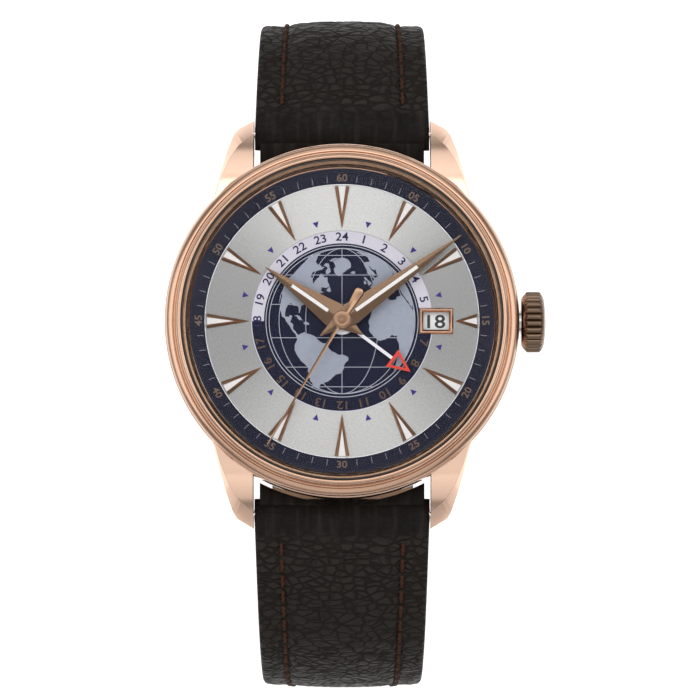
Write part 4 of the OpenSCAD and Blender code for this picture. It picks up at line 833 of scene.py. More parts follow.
window_x, rings = 11.1, []
for half_x, half_y, z in ((2.025, 1.53, 0.0), (2.025, 1.53, 0.16), (1.86, 1.37, 0.36), (1.72, 1.23, 0.36),
                          (1.52, 1.03, 0.12), (1.52, 1.03, 0.0)):
    corners = oblong(half_x, half_y, 0.05, 3)
    rings.append(np.column_stack([corners + [window_x, 0], np.full(12, z + dial_top)]))
dressed(outward(skin("date_frame_shown", np.vstack(rings) * mm, net(6, 12, True, True), frame_gold, 20)),
        "case", "date_frame")
paint("date_disc", date_white)


def date_numbers():
    """The 31 numbers stand upright when they come to the window at 3 o'clock; 18 is there now."""
    _, disc_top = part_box("date_disc")
    parts = []
    for day in range(1, 32):
        p, faces = digits(str(day))
        a = (day - 18) * 2 * math.pi / 31
        x, y = 11.12 + 1.95 * p[:, 0], 1.6 * p[:, 1]
        parts.append((np.column_stack([x * math.cos(a) - y * math.sin(a), x * math.sin(a) + y * math.cos(a),
                                       disc_top[2] / mm + 0.012 * p[:, 2]]), faces))
    points, faces = joined(parts)
    return skin("date_numbers", points * mm, faces, date_ink, 20)


dressed(date_numbers(), "date_disc")

# Hands
# The hour and minute hands are stamped from brass with two facets that meet in a ridge, polished
# and plated, with a slot of luminous paint. The GMT hand is flat and white with a red triangle,
# and the seconds hand is a needle. Each is pressed on its own pipe or arbor.
# Painted shade: the hands' gold is a much darker copy of the case's rose gold, for the dark surroundings
# that they reflect.
hand_gold_shaded = finish("rose_gold_hands", (0.155, 0.096, 0.062), 1.0, 0.18, vary=0.05, scale=700, scuff=0.03)


def lower_part(node, level, mat, name):
    """What of a CAD node lies below a level in millimetres, closed again where it was cut."""
    shape = bmesh.new()
    shape.from_mesh(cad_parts[node].data)
    weld(shape)
    bmesh.ops.bisect_plane(shape, geom=shape.verts[:] + shape.edges[:] + shape.faces[:], dist=1e-7,
                           plane_co=(0, 0, level * mm), plane_no=(0, 0, 1), clear_outer=True)
    rim = [e for e in shape.edges if e.is_boundary]
    bmesh.ops.triangle_fill(shape, use_beauty=True, edges=rim)
    bmesh.ops.recalc_face_normals(shape, faces=shape.faces)
    return made_from(shape, name, mat)


def faceted_hand(name, length, tail, width, wide_at, at, low, flank, crest):
    """A lance: four flat facets run from its outline up to one highest point over the widest place,
    so the ridge falls evenly to both ends. A round hub, a disc of 48 sides, stands through it."""
    h = width / 2
    tip_w, hub, sides = 0.05, 1.12, 48
    top = low + flank
    outline = [(-tip_w, length), (-h, wide_at), (-0.06, -tail), (0.06, -tail), (h, wide_at), (tip_w, length)]
    points = [(x, y, z) for z in (low, top) for x, y in outline]
    points += [(0, wide_at, top + crest), (0, length - 0.1, top), (0, -tail + 0.1, top)]
    faces = [[5, 4, 3, 2, 1, 0]] + [[i, (i + 1) % 6, 6 + (i + 1) % 6, 6 + i] for i in range(6)]
    faces += [[6, 7, 12], [6, 12, 13], [11, 13, 12], [11, 12, 10], [6, 13, 11], [7, 8, 12], [8, 14, 12],
              [9, 12, 14], [9, 10, 12], [8, 9, 14]]
    disc_section = (hub, low - 0.02), (hub, top + crest * 0.8), (hub - 0.1, top + crest * 1.05)
    disc = [(r * math.cos(t), r * math.sin(t), z) for r, z in disc_section for t in around(sides)]
    points, faces = joined([(points, faces), (disc, tube(3, sides))])
    return outward(skin(name, at_clock(points, at) * mm, faces, hand_gold_shaded, 3))


def slot_fill(name, at, start, end, wide, low, near, far, mat):
    """A bar along a hand from start to end whose top slopes from near to far."""
    h = wide / 2
    p = [(s * h, y, z) for y, top in ((start, near), (end, far)) for z in (low, top) for s in (-1, 1)]
    faces = [[0, 1, 3, 2], [4, 6, 7, 5], [0, 2, 6, 4], [1, 5, 7, 3], [2, 3, 7, 6], [0, 4, 5, 1]]
    return outward(skin(name, at_clock(p, at) * mm, faces, mat, 20))


for body, at, length, tail, width, wide_at, low, crest, lume_end in (
        ("hour_hand", 304.9, 10.97, 2.95, 3.1, 1.1, 7.76, 0.22, 7.2),
        ("minute_hand", 54.5, 17.25, 3.2, 2.7, 1.3, 8.18, 0.2, 10.9)):
    flank, start = 0.07, 2.0
    near, far = (low + flank + crest * (length - r) / (length - wide_at) for r in (start, lume_end))
    hand = faceted_hand(body + "_shown", length, tail, width, wide_at, at, low, flank, crest)
    edge = slot_fill(body + "_slot", at, start - 0.12, lume_end + 0.12, 0.56, low, near - 0.005, far - 0.002,
                     hand_gold_shaded)
    fill = slot_fill(body + "_lume", at, start, lume_end, 0.4, low, near + 0.012, far + 0.012, lume_white)
    dressed(hand, body, body)
    dressed(edge, body)
    dressed(fill, body)
for body, level, name in (("hour_hand", 7.7, "hour_pipe"), ("minute_hand", 8.1, "minute_pipe")):
    dressed(lower_part(body, level, hand_gold_shaded, name), body, body)

gmt_white = finish("gmt_white", (0.80, 0.78, 0.84), 0.0, 0.35, vary=0.02, scale=2000, bump=0.000003)
gmt_red = finish("gmt_red", (0.66, 0.03, 0.012), 0.0, 0.35, vary=0.06, scale=2500, bump=0.000003)
gmt_turn = 126.8


def flat_hand(name, shapes, low, high, mat):
    """Flat patches with closed walls, turned to where the GMT hand points."""
    shapes = [(at_clock(np.column_stack([points, np.zeros(len(points))]), gmt_turn)[:, :2], tops, rims)
              for points, tops, rims in shapes]
    return film(name, shapes, low, high, mat)


bar = [(-0.19, 1.5), (0.19, 1.5), (0.19, 7.5), (-0.19, 7.5)]
outer = np.array([(-1.25, 7.35), (1.25, 7.35), (0.0, 10.1)])
middle = outer.mean(0)
ring_points = np.vstack([outer, middle + (outer - middle) * 0.58])
ring_tops = [[0, 1, 4], [0, 4, 3], [1, 2, 5], [1, 5, 4], [2, 0, 3], [2, 3, 5]]
gmt_disc = flat_hand("gmt_hand_shown", [band(1.08, 1.65, sides=64), patch(bar)], 7.36, 7.5, gmt_white)
ring = (ring_points, ring_tops, [[0, 1, 2], [5, 4, 3]])
gmt_triangle = flat_hand("gmt_triangle", [ring], 7.37, 7.53, gmt_red)
dressed(gmt_disc, "gmt_hand", "gmt_hand")
dressed(gmt_triangle, "gmt_hand")
dressed(lower_part("gmt_hand", 7.3, gmt_white, "gmt_pipe"), "gmt_hand", "gmt_hand")


def needle():
    """The seconds hand: a fine roofed blade to the tip and a tail that widens to a round end. Half
    widths along the hand are joined by straight lines; the ridge is half as high as the half width
    there, up to 0.12 mm."""
    y = np.array([-4.35, -4.28, -4.1, -3.85, -3.3, -2.2, -1.0, 0.0, 3.0, 10.0, 17.0, 17.1])
    w = np.array([0.05, 0.28, 0.44, 0.5, 0.46, 0.36, 0.27, 0.24, 0.19, 0.13, 0.07, 0.02])
    low, top = 8.6, 8.69
    rows = [np.column_stack([side * w, y, z + 0 * y]) for side, z in
            ((-1, low), (-1, top), (0, top + np.minimum(w * 0.5, 0.12)), (1, top), (1, low))]
    return at_clock(np.stack(rows, 1).reshape(-1, 3), 210.8) * mm, tube(len(y), 5)


needle_gold = finish("rose_gold_needle", (0.36, 0.22, 0.142), 1.0, 0.12, vary=0.05, scale=700, scuff=0.03)
arbor_steel = finish("fourth_arbor", (0.6, 0.6, 0.62), 1.0, 0.2, vary=0.04)
cap_section = [(0, 8.57), (1.02, 8.57), (1.05, 8.6), (1.05, 8.74), (1.0, 8.79), (0.86, 8.8), (0.82, 8.84),
               (0.74, 8.88), (0.62, 8.88), (0.56, 8.86), (0.52, 8.8), (0.34, 8.8), (0.3, 8.86), (0.22, 8.9),
               (0, 8.91)]
seconds = outward(skin("seconds_hand_shown", *needle(), needle_gold, 15))
cap = turned_solid("seconds_cap", cap_section, needle_gold, 96, 35)
arbor = lower_part("seconds_hand", 8.5, arbor_steel, "seconds_arbor")
for piece, node in ((seconds, "seconds_hand"), (cap, None), (arbor, "seconds_hand")):
    dressed(piece, "seconds_hand", node)

# Crown
# The crown is turned from the same plated steel and milled with 26 flutes. The chamfers at both
# ends cut the flutes to points. It screws on the winding stem, so both turn and pull together.


def fluted_crown():
    """Radius at angle a and height h is the smaller of the turned profile p(h) and the milled star
    3.24 + 0.36 |cos 13a|^0.7. Both ends close in poles."""
    profile = [(1.44, 0.5), (1.46, 0.46), (1.46, 0.02), (1.48, 0.0), (2.7, 0.0), (2.86, 0.04), (3.08, 0.22),
               (3.3, 0.42), (3.46, 0.56), (3.6, 0.68), (3.6, 0.9), (3.6, 1.5), (3.6, 2.05), (3.57, 2.18),
               (3.44, 2.32), (3.26, 2.46), (3.08, 2.58), (2.96, 2.64), (2.84, 2.68), (2.6, 2.72),
               (2.2, 2.79), (1.7, 2.86), (1.1, 2.91), (0.5, 2.94)]
    inner_x, stem_z, flutes = 21.15, 5.1, 26
    r, h = np.array(profile).T[:, :, None]
    a = around(flutes * 12)
    radius = np.minimum(r, 3.24 + 0.36 * np.abs(np.cos(flutes / 2 * a)) ** 0.7)
    grid = np.stack([inner_x + h + 0 * a, radius * np.cos(a), stem_z + radius * np.sin(a)], -1)
    poles = [(inner_x + 0.5, 0, stem_z), (inner_x + 2.95, 0, stem_z)]
    return np.vstack([grid.reshape(-1, 3), poles]) * mm, poled(len(r), len(a))


# Painted shade: the crown's gold is a much darker copy of the case's rose gold, for the flutes that shade
# and reflect each other.
crown_gold_shaded = finish("crown_milled_shaded", (0.17, 0.115, 0.08), 1.0, 0.2, vary=0.1, scale=500, scuff=0.05)
plain_steel = finish("steel_polished", (0.62, 0.62, 0.64), 1.0, 0.16, vary=0.05, scale=600, scuff=0.04)
dressed(outward(skin("crown_shown", *fluted_crown(), crown_gold_shaded, 32)), "crown", "crown")
for node in ("winding_stem", "crown_tube", "spring_bar_12", "spring_bar_6", "winding_pinion",
             "setting_lever"):
    paint(node, plain_steel)

# Case back
# A screwed ring of the same plated steel, satin turned, with notches for the wrench, holds a flat
# sapphire disc. A black ring seals it.
rose_satin = finish("rose_gold_turned", (0.80, 0.52, 0.37), 1.0, 0.16, vary=0.05, scale=500, scuff=0.04)
bevelled_copy("case_back", rose_satin, 0.07, "case")
back_section = [(0, 0.0), (13.1, 0.0), (13.28, 0.12), (13.28, 0.95), (13.15, 1.09), (0, 1.1)]
dressed(turned_solid("back_glass_shown", back_section, sapphire, 180), "case", "back_glass")
paint("back_gasket", gasket_black)

# Movement
# The automatic movement: nickel-plated bridges with straight stripes, a grained main plate, gilt
# wheels, polished steel wheels, ruby bearings and blued screws.


def striped_nickel(name, colour, turn):
    """Plated metal ground in straight bands 1.5 mm wide: a saw wave across the bands, turned by an
    angle, tilts each band and shades it."""
    mat = finish(name, colour, 1.0, 0.24)
    tree = mat.node_tree
    place = tree.nodes["Mapping"]
    place.inputs["Rotation"].default_value = (0, 0, math.radians(turn))
    pitch = 1.5 * mm
    waves = wired(tree, "TexWave", {"Vector": place.outputs["Vector"], "Scale": 2 * math.pi / (20 * pitch),
                                    "Distortion": 0}, wave_profile="SAW").outputs["Fac"]
    tone = ramp(tree, waves, toned(colour, 0.72), toned(colour, 1.12))
    feed(tree, "Base Color", tone.outputs["Color"])
    raised(tree, waves, 0.4, 0.00006)
    return mat


striped = striped_nickel("nickel_striped", (0.66, 0.66, 0.68), 35)
rotor_stripes = striped_nickel("rotor_striped", (0.70, 0.70, 0.71), -20)
grained = finish("nickel_grained", (0.58, 0.58, 0.60), 1.0, 0.3, vary=0.1, scale=1400, scuff=0.06,
                 bump=0.00001)
gilt = finish("gilt_brass", (0.83, 0.60, 0.27), 1.0, 0.2, vary=0.06, scale=800, scuff=0.05)
blued = finish("blued_steel", (0.04, 0.07, 0.30), 1.0, 0.16, vary=0.15, scale=700)
ruby = finish("ruby", (0.45, 0.01, 0.06), 0.0, 0.06, vary=0.1, scale=1500)
ruby.node_tree.nodes["Principled BSDF"].inputs["Coat Weight"].default_value = 0.6
for node, metal, width, body in (("barrel_bridge", striped, 0.07, "case"),
                                 ("train_bridge", striped, 0.07, "case"),
                                 ("balance_cock", striped, 0.06, "case"),
                                 ("rotor", rotor_stripes, 0.07, "rotor")):
    bevelled_copy(node, metal, width, body)
for nodes, metal in (
        (("mainplate", "movement_ring", "date_guide"), grained),
        (("pallet_bridge", "rotor_bearing", "ratchet_wheel", "crown_wheel", "pallet_fork", "escape_wheel"),
         plain_steel),
        (("mainspring_barrel", "center_wheel", "third_wheel", "balance_wheel", "reverser_wheel"), gilt),
        (("bridge_screws", "hairspring"), blued),
        (("jewels",), ruby)):
    for node in nodes:
        paint(node, metal)

# Strap
# Each half is cut from grained calf leather, folded round its spring bar, padded along the middle
# and stitched 3.2 mm in from both edges to a smooth lining. The edges are painted.
bar_y, bar_z = 22.7, 1.7
inner_n, flat_n, corner_r, roll_r = 1.95, 0.45, 12.0, 1.25
lining_top = -inner_n + 0.9
stitch_in = 3.2


def strap_route(reach, pad, lean, drop, tail):
    """Stretches (length, turn in degrees) of a half, from its bar: a short run that leans down, a
    bend to the vertical, the drop beside the wrist, a corner and the run under the wrist."""
    a, run = math.radians(lean), 4.5
    sweep = (reach - flat_n - pad - bar_y - run * math.cos(a)) / (1 - math.sin(a))
    return [(run, 0), (sweep * math.radians(90 - lean), lean - 90), (drop, 0), (corner_r * math.pi / 2, -90),
            (tail, 0)], lean


def along(route, s):
    """Place (y, z) and heading at lengths s: straight stretches run on, curved ones turn evenly, so
    y grows by R (sin b - sin a) and z by R (cos a - cos b) between headings a and b."""
    stretches, lean = route
    y, z, a, start = bar_y, bar_z, -math.radians(lean), 0.0
    out = np.zeros((len(s), 3))
    for i, (length, turn) in enumerate(stretches):
        t = math.radians(turn)
        here = (s >= start) & ((s < start + length) | (i == len(stretches) - 1)) | ((i == 0) & (s < 0))

        def at(d):
            if not turn:
                return y + d * math.cos(a), z + d * math.sin(a), a + 0 * d
            b, r = a + t * d / length, length / t
            return y + r * (np.sin(b) - math.sin(a)), z + r * (math.cos(a) - np.cos(b)), b

        out[here] = np.stack(at(s[here] - start), -1)
        y, z, a = (float(v) for v in at(np.array(float(length))))
        start += length
    return out


def on_strap(route, s, x, n, side=1):
    """Points x across and n along the normal of a half, at lengths s, for the 12 o'clock side or,
    with side -1, for the 6 o'clock side."""
    y, z, a = np.moveaxis(along(route, s.reshape(-1)).reshape(*s.shape, 3), -1, 0)
    return np.stack([x, side * (y - n * np.sin(a)), z + n * np.cos(a)], -1) * mm


def strap_width(s):
    """It tapers from 20.8 mm at the lugs to 18 mm: 18 + 2.8 (1 - s / 60)^1.4."""
    return 18 + 2.8 * np.maximum(0, 1 - s / 60) ** 1.4


def tip_share(s, length):
    """What the round tip, 10 mm long, leaves of the width at lengths s."""
    return np.maximum(np.sqrt(np.maximum(0, 1 - np.clip((s - length + 10) / 10, 0, 1) ** 2)), 0.12)


def pad_height(s):
    """The padding thins out towards the buckle: 0.3 + 1.2 (1 - s / 32)^1.5."""
    return 0.3 + 1.2 * np.maximum(0, 1 - s / 32) ** 1.5


def edge_lift(s):
    """The leather beside the padding is thicker near the bar: 1.1 (1 - s / 9)^1.5."""
    return 1.1 * np.maximum(0, 1 - s / 9) ** 1.5


def crumple(x, s, seed, cell):
    """Cell noise: 1 minus the distance to the nearest of seeded points, one in each square cell, so
    it is a field of rounded pebbles, from 0 at the creases to 1 on top."""
    rng = np.random.default_rng(seed)
    rows, columns = 400, 60
    px, ps = rng.uniform(0.1, 0.9, (2, rows, columns))
    cx, cs = np.floor(x / cell).astype(int), np.floor(s / cell).astype(int)
    best = np.full(x.shape, 9.0)
    for i in (-1, 0, 1):
        for j in (-1, 0, 1):
            u, v = (cs + i) % rows, (cx + j) % columns
            far = np.hypot(x / cell - cx - j - px[u, v], s / cell - cs - i - ps[u, v])
            best = np.minimum(best, far)
    return np.clip(1 - best, 0, 1)


def give_grain(mesh, places):
    """Stores, for each point of a mesh, the place in metres across and along the hide at which the
    leather's grain is read."""
    grain = mesh.attributes.get("grain_place") or mesh.attributes.new("grain_place", "FLOAT_VECTOR", "POINT")
    grain.data.foreach_set("vector", np.asarray(places, np.float32).reshape(-1))


def leather_surface(name, route, length, tip, side, rows):
    """One half's leather. A point is the route's place at s plus n along its normal, and x across.
    On top n = margin + pad (1 - |x / m|^3)^0.75 inside the stitch lines x = m, with a groove along
    them and pebbles all over; below it is flat. Towards the bar the top falls off in an ellipse from
    s = 3.4, and the ends shrink in a circle round the bars."""
    s = np.concatenate([-inner_n * np.sqrt(1 - np.linspace(0.12, 1, 9)[:-1] ** 2),
                        np.linspace(0, length + (0 if tip else roll_r), rows)])
    sc = np.maximum(0, s)
    width = strap_width(sc) * (tip_share(s, length) if tip else 1)
    lift = edge_lift(sc)
    rolled = (s < 2.55) | ((s > length - roll_r - 0.05) & (not tip))
    low = np.where(rolled, -inner_n, lining_top)
    t = np.linspace(-1, 1, 76)
    x = np.sign(t) * (1 - (1 - np.abs(t)) ** 1.08) * (width[:, None] / 2 - 0.02)
    m = np.maximum(0.3, width / 2 - stitch_in)[:, None]
    inside = np.clip(np.abs(x) / m, 0, 1)
    crown = (pad_height(sc) - lift)[:, None] * np.minimum(1, m / 3) * (1 - inside**3) ** 0.75
    groove = -0.16 * np.exp(-(((np.abs(x) - m - 0.1) / 0.32) ** 2))
    edge = width[:, None] / 2 - np.abs(x)
    round_edge = -0.45 * (1 - np.sqrt(np.clip(1 - (1 - np.clip(edge / 0.55, 0, 1)) ** 2, 0, 1)))
    off_stitches = np.clip(1 - np.exp(-(((np.abs(x) - m) / 0.5) ** 2)), 0, 1)
    calm = np.clip(edge / 0.8, 0, 1) * (0.35 + 0.65 * off_stitches)
    grow = s[:, None] + 0 * x
    pebble = (0.10 * crumple(x + 0.5 * np.sin(grow * 0.9), grow * 0.8, 3, 1.15)
              + 0.05 * crumple(x, grow, 4, 0.62))
    crease = 0.05 * np.sin(grow * 1.7 + 1.3 * np.sin(x * 0.7)) * np.sin(x * 0.45 + grow * 0.31)
    fall = np.sqrt(1 - 0.96 * np.clip((3.4 - s) / 5.35, 0, 1) ** 2)[:, None]
    top = ((flat_n + lift)[:, None] + crown + groove + round_edge + calm * (pebble - 0.07 + crease)) * fall
    shrink = np.where(s < 0, np.sqrt(np.maximum(0, 1 - (s / inner_n) ** 2)), 1.0)
    middle = np.where(s < 0, 0.0, roll_r - inner_n)[:, None]
    if not tip:
        shrink = shrink * np.sqrt(np.maximum(0, 1 - np.clip((s - length) / roll_r, 0, 1) ** 2))
    xs = np.concatenate([x, x[:, -1:], x[:, ::-6], x[:, :1]], 1)
    under = np.repeat(low[:, None], xs.shape[1] - x.shape[1], 1)
    under[:, 0] = under[:, -1] = low + 0.25 * (top[:, 0] - low)
    ns = middle + (np.concatenate([top, under], 1) - middle) * np.maximum(shrink, 0.04)[:, None]
    grid = on_strap(route, s[:, None], xs, ns, side)
    piece = outward(skin(name, grid, tube(*xs.shape), strap_brown, 60))
    give_grain(piece.data, np.stack([xs, s[:, None] + 0 * xs, 0 * xs], -1) * mm)
    return piece


def calf_leather(name, colour):
    """Grained calf: pebbles from cell distances on the piece's own across and along places, wider
    than long, with longer creases and fine pores over them, and a dull wax gloss on top. The colour is
    darker in the creases as painted shade and lighter on the pebble tops as painted light. Round the bar,
    below 3.6 mm, the leather is smooth, without pebbles, and painted darker as painted shade."""
    mat = finish(name, colour, 0.0, 0.52, specular=0.11)
    tree = mat.node_tree
    own = wired(tree, "Attribute", attribute_name="grain_place").outputs["Vector"]

    def stretched(factors):
        return wired(tree, "VectorMath", {0: own, 1: factors}, operation="MULTIPLY").outputs[0]

    def noise(vector, scale, **own_inputs):
        return wired(tree, "TexNoise", {"Vector": vector, "Scale": scale, **own_inputs}).outputs

    def ranged(socket, low, high, to_low=0.0):
        inputs = {"Value": socket, "From Min": low, "From Max": high, "To Min": to_low}
        return wired(tree, "MapRange", inputs, interpolation_type="SMOOTHSTEP").outputs["Result"]

    def product(a, b):
        return wired(tree, "Math", {0: a, 1: b}, operation="MULTIPLY").outputs[0]

    def cells(scale):
        return wired(tree, "TexVoronoi", {"Vector": shifted, "Scale": scale},
                     feature="DISTANCE_TO_EDGE").outputs["Distance"]

    wide, wander = stretched((0.64, 1.25, 1)), noise(own, 260)["Color"]
    mixed = {"Fac": 0.0006, 1: wide, 2: wander}
    shifted = wired(tree, "MixRGB", mixed, blend_type="LINEAR_LIGHT").outputs[0]
    soft = product(ranged(cells(980), 0, 0.19), ranged(cells(300), 0, 0.05, 0.4))
    length = wired(tree, "SeparateXYZ", {0: own}).outputs["Y"]
    past_roll = ranged(length, 0.0016, 0.0036)
    high = wired(tree, "Math", {0: noise(own, 5200, Detail=4)["Fac"], 1: 0.25, 2: product(soft, past_roll)},
                 operation="MULTIPLY_ADD").outputs[0]
    raised(tree, high, 0.9, 0.00018)
    # Painted shade in the creases and painted light on the pebble tops.
    grained = ramp(tree, soft, toned(colour, 0.58), toned(colour, 1.22))
    # Painted shade: near the bar the smooth leather is painted darker.
    drawn_and_shaded = ramp(tree, noise(stretched((1, 0.16, 1)), 900)["Fac"], toned(colour, 0.36), toned(colour, 1.1),
                 0.5, 0.78)
    both = wired(tree, "MixRGB", {"Fac": past_roll, 1: drawn_and_shaded.outputs["Color"], 2: grained.outputs["Color"]})
    feed(tree, "Base Color", both.outputs[0])
    wax = wired(tree, "MapRange", {"Value": soft, "To Min": 0.68, "To Max": 0.44})
    feed(tree, "Roughness", wax.outputs["Result"])
    return mat


def lining_surface(name, route, length, tip, side, rows):
    """The lining: a thin flat band 0.9 mm thick with rounded edges under the leather."""
    s = np.linspace(2.62, length if tip else length - roll_r - 0.12, rows)
    width = (strap_width(s) / 2 - 0.15) * (tip_share(s, length) if tip else 1)
    section = eased([(-1, -inner_n), (1, -inner_n), (1, lining_top), (-1, lining_top)], 0.12, 4)
    x = section[:, 0] * width[:, None]
    grid = on_strap(route, s[:, None], x, section[:, 1] + 0 * x, side)
    return outward(skin(name, grid, tube(*x.shape), lining_tan, 40))


def thread(name, route, side, first, last):
    """Two rows of stitches. Each is a short bar of two-ply thread whose ends dip into the leather:
    its height is that of an arch, and its radius r (1 + 0.22 cos(2 a - 8 t)) winds along it."""
    parts, rings, sides = [], 17, 10
    t, a = np.linspace(-1, 1, rings), around(sides)
    r = 0.25 * np.sqrt(np.maximum(0.06, 1 - t**6))
    ply = r[:, None] * (1 + 0.22 * np.cos(2 * a - 8 * t[:, None]))
    for middle in np.arange(first, last, 1.95):
        s = middle + t * 0.84
        for hand in (1, -1):
            x = (hand * (strap_width(s) / 2 - stitch_in + 0.12))[:, None] + ply * np.cos(a)
            n = (flat_n + edge_lift(s) + 0.02 + 0.13 * (1 - t**2) - 0.12)[:, None] + ply * np.sin(a)
            parts.append((on_strap(route, s[:, None], x, n, side).reshape(-1, 3), tube(rings, sides)))
    return outward(skin(name, *joined(parts), thread_brown, 50))


def cut_through(piece, tools):
    """Cuts closed tool meshes out of a piece. The cut empties the grain's places, so each point
    takes those of the nearest point from before it."""
    before = carve(piece, tools, "DIFFERENCE")
    if "grain_place" not in before.attributes:
        return
    nearest = KDTree(len(before.vertices))
    for i, vertex in enumerate(before.vertices):
        nearest.insert(vertex.co, i)
    nearest.balance()
    old = np.zeros((len(before.vertices), 3), np.float32)
    before.attributes["grain_place"].data.foreach_get("vector", old.reshape(-1))
    give_grain(piece.data, [old[nearest.find(vertex.co)[1]] for vertex in piece.data.vertices])


strap_brown = calf_leather("strap_brown", (0.0172, 0.0139, 0.0118))
lining_tan = finish("lining_tan", (0.20, 0.115, 0.065), 0.0, 0.6, vary=0.15, scale=900, scuff=0.06,
                    bump=0.00004)
thread_brown = finish("thread_brown", (0.042, 0.0165, 0.0095), 0.0, 0.6, vary=0.2, scale=5000, bump=0.00003,
                      stretch=(1, 0.3, 1), specular=0.12)
length_12, length_6 = 66.0, 104.0
route_12 = strap_route(38.0, 0.6, 14, 18.5231, 60)
route_6 = strap_route(43.3, 0.75, 10, 17.6422, 80)
shape_12, shape_6 = (route_12, length_12, False, 1), (route_6, length_6, True, -1)
leather_12 = leather_surface("strap_12_leather_shown", *shape_12, 250)
leather_6 = leather_surface("strap_6_leather_shown", *shape_6, 400)
backing_12 = lining_surface("strap_12_lining_shown", *shape_12, 120)
backing_6 = lining_surface("strap_6_lining_shown", *shape_6, 180)

# The spring bars and the buckle's bar run through the rolls, a slot lets the tongue pass, and seven
# holes for the tongue are punched through both layers of the 6 o'clock half.
pin_y, pin_z = 18.1166, -41.8622
hole_r, slot_r, through, bar_r, pin_r = 0.95, 1.25, 8, 0.95, 0.6
across, upright = (1, 0, 0), (0, 0, 1)


def slot_rods(*places):
    """Upright rods in a row behind and before the buckle's bar, for the tongue's slot."""
    return [rod((0, pin_y + at, pin_z), upright, slot_r, through) for at in places]


bar_length = 24
cut_through(leather_12, [rod((0, bar_y, bar_z), across, bar_r, bar_length),
                         rod((0, pin_y, pin_z), across, pin_r, bar_length), *slot_rods(2.1, 0.75, -1.2)])
cut_through(backing_12, slot_rods(2.1, 0.75))
cut_through(leather_6, [rod((0, -bar_y, bar_z), across, bar_r, bar_length)])
first_hole, hole_step, hole_count = 21.0, 6.5, 7
holes = along(route_6, length_6 - first_hole - hole_step * np.arange(hole_count))
for piece in (leather_6, backing_6):
    cut_through(piece, [rod((0, -y, z), (0, math.sin(a), math.cos(a)), hole_r, through)
                        for y, z, a in holes])


def fold(name, side):
    """The leather's turned-in flap between the roll and the case: a slab whose inner edge follows
    the case's circle, y = sqrt(21.25^2 - x^2), with rounded long edges."""
    x = np.linspace(-9.75, 9.75, 61)[:, None]
    inner = np.minimum(np.sqrt(21.25**2 - x**2), 21.3)
    u, height = eased([(0, 0.75), (1, 0.6), (1, 2.75), (0, 2.45)], 0.25, 5).T
    y = inner + u * (bar_y - 1.1 - inner)
    z = height + 0.05 * np.sin(x * 2.2) * u
    grid = np.stack([x + 0 * y, side * y, z], -1) * mm
    piece = outward(skin(name, grid, tube(*y.shape), strap_brown, 50))
    # The grain places lie under 1.6 mm along, so the fold takes the smooth leather's darker colour: painted
    # shade.
    give_grain(piece.data, grid * (1, 0.02, 1))
    return piece


fold_12, fold_6 = fold("strap_12_fold", 1), fold("strap_6_fold", -1)
thread_12 = thread("strap_12_thread", route_12, 1, 4.3, 61.5)
thread_6 = thread("strap_6_thread", route_6, -1, 4.0, 94.5)
for body, leather, backing, others in (("strap_12", leather_12, backing_12, (fold_12, thread_12)),
                                       ("strap_6", leather_6, backing_6, (fold_6, thread_6))):
    dressed(leather, body, body + "_leather")
    dressed(backing, body, body + "_lining")
    for piece in others:
        dressed(piece, body)

# Buckle and keepers
# A pin buckle of plated steel turns on its bar at the end of the 12 o'clock half. Two bands of the
# strap's leather hold the other half's tail: one is fixed, one slides.
bevelled_copy("buckle_frame", rose_gold, 0.22, "buckle", segments=3)
bevelled_copy("buckle_tongue", rose_gold, 0.12, "buckle_tongue")
paint("buckle_bar", plain_steel)


def evenly(points, count):
    """Evenly spaced points round a closed outline, and how far along it each is."""
    closed = np.vstack([points, points[:1]])
    run = np.concatenate([[0], np.cumsum(np.linalg.norm(np.diff(closed, axis=0), axis=1))])
    want = np.linspace(0, run[-1], count, endpoint=False)
    return np.column_stack([np.interp(want, run, closed[:, i]) for i in (0, 1)]), want


def keeper_band(node, body, at):
    """A band 5 mm wide and 1 mm thick round the strap at length s = at. Its middle line is a rounded
    rectangle in x and n; round it goes a rounded oblong of s and thickness w, and on the outside w
    grows by 0.07 pebble and sinks by 0.14 exp(-((|v| - 1.75) / 0.16)^2) in a pressed line."""
    half, low, high, edge, face = float(strap_width(at)) / 2 + 0.75, -2.6, 4.15, 2.48, 0.43
    line, run = evenly(eased([(half, low), (half, high), (-half, high), (-half, low)], 0.9, 9), 240)
    ahead = np.roll(line, -1, 0) - np.roll(line, 1, 0)
    out = np.column_stack([ahead[:, 1], -ahead[:, 0]]) / np.linalg.norm(ahead, axis=1)[:, None]
    section, _ = evenly(eased([(-edge, -0.49), (edge, -0.49), (edge, face), (-edge, face)], 0.34, 6), 64)
    run = run[:, None] + 0 * section[:, 0]
    v, w = (section[:, i] + 0 * run for i in (0, 1))
    outside = np.clip(w / face, 0, 1) * np.clip((edge - np.abs(v)) / 0.5, 0, 1)
    pressed = 0.14 * np.exp(-(((np.abs(v) - 1.75) / 0.16) ** 2))
    w = w + outside * (0.07 * crumple(run, v + 20, 9, 1.15) - pressed)
    grid = on_strap(route_12, at + v, line[:, :1] + w * out[:, :1], line[:, 1:] + w * out[:, 1:])
    piece = outward(skin(node + "_shown", grid, net(*v.shape, True, True), strap_brown, 60))
    give_grain(piece.data, np.stack([run, at + v, 0 * v], -1) * mm)
    dressed(piece, body, node)


keeper_band("fixed_keeper", "strap_12", 56.567)
keeper_band("sliding_keeper", "sliding_keeper", 50.967)

# Studio
# The watch stands over a white floor in soft light: one wide overhead panel, four panels round the sides
# for the dial's bright fans, and a sky that fades from white to grey near the horizon. Round the watch the
# floor holds a painted pool of light that glows and fades to grey further out.
white_floor = finish("studio_floor", (0.93, 0.93, 0.93), 0.0, 0.7)
tree = white_floor.node_tree
place = tree.nodes["Texture Coordinate"].outputs["Object"]
reach = wired(tree, "VectorMath", {0: place}, operation="LENGTH")
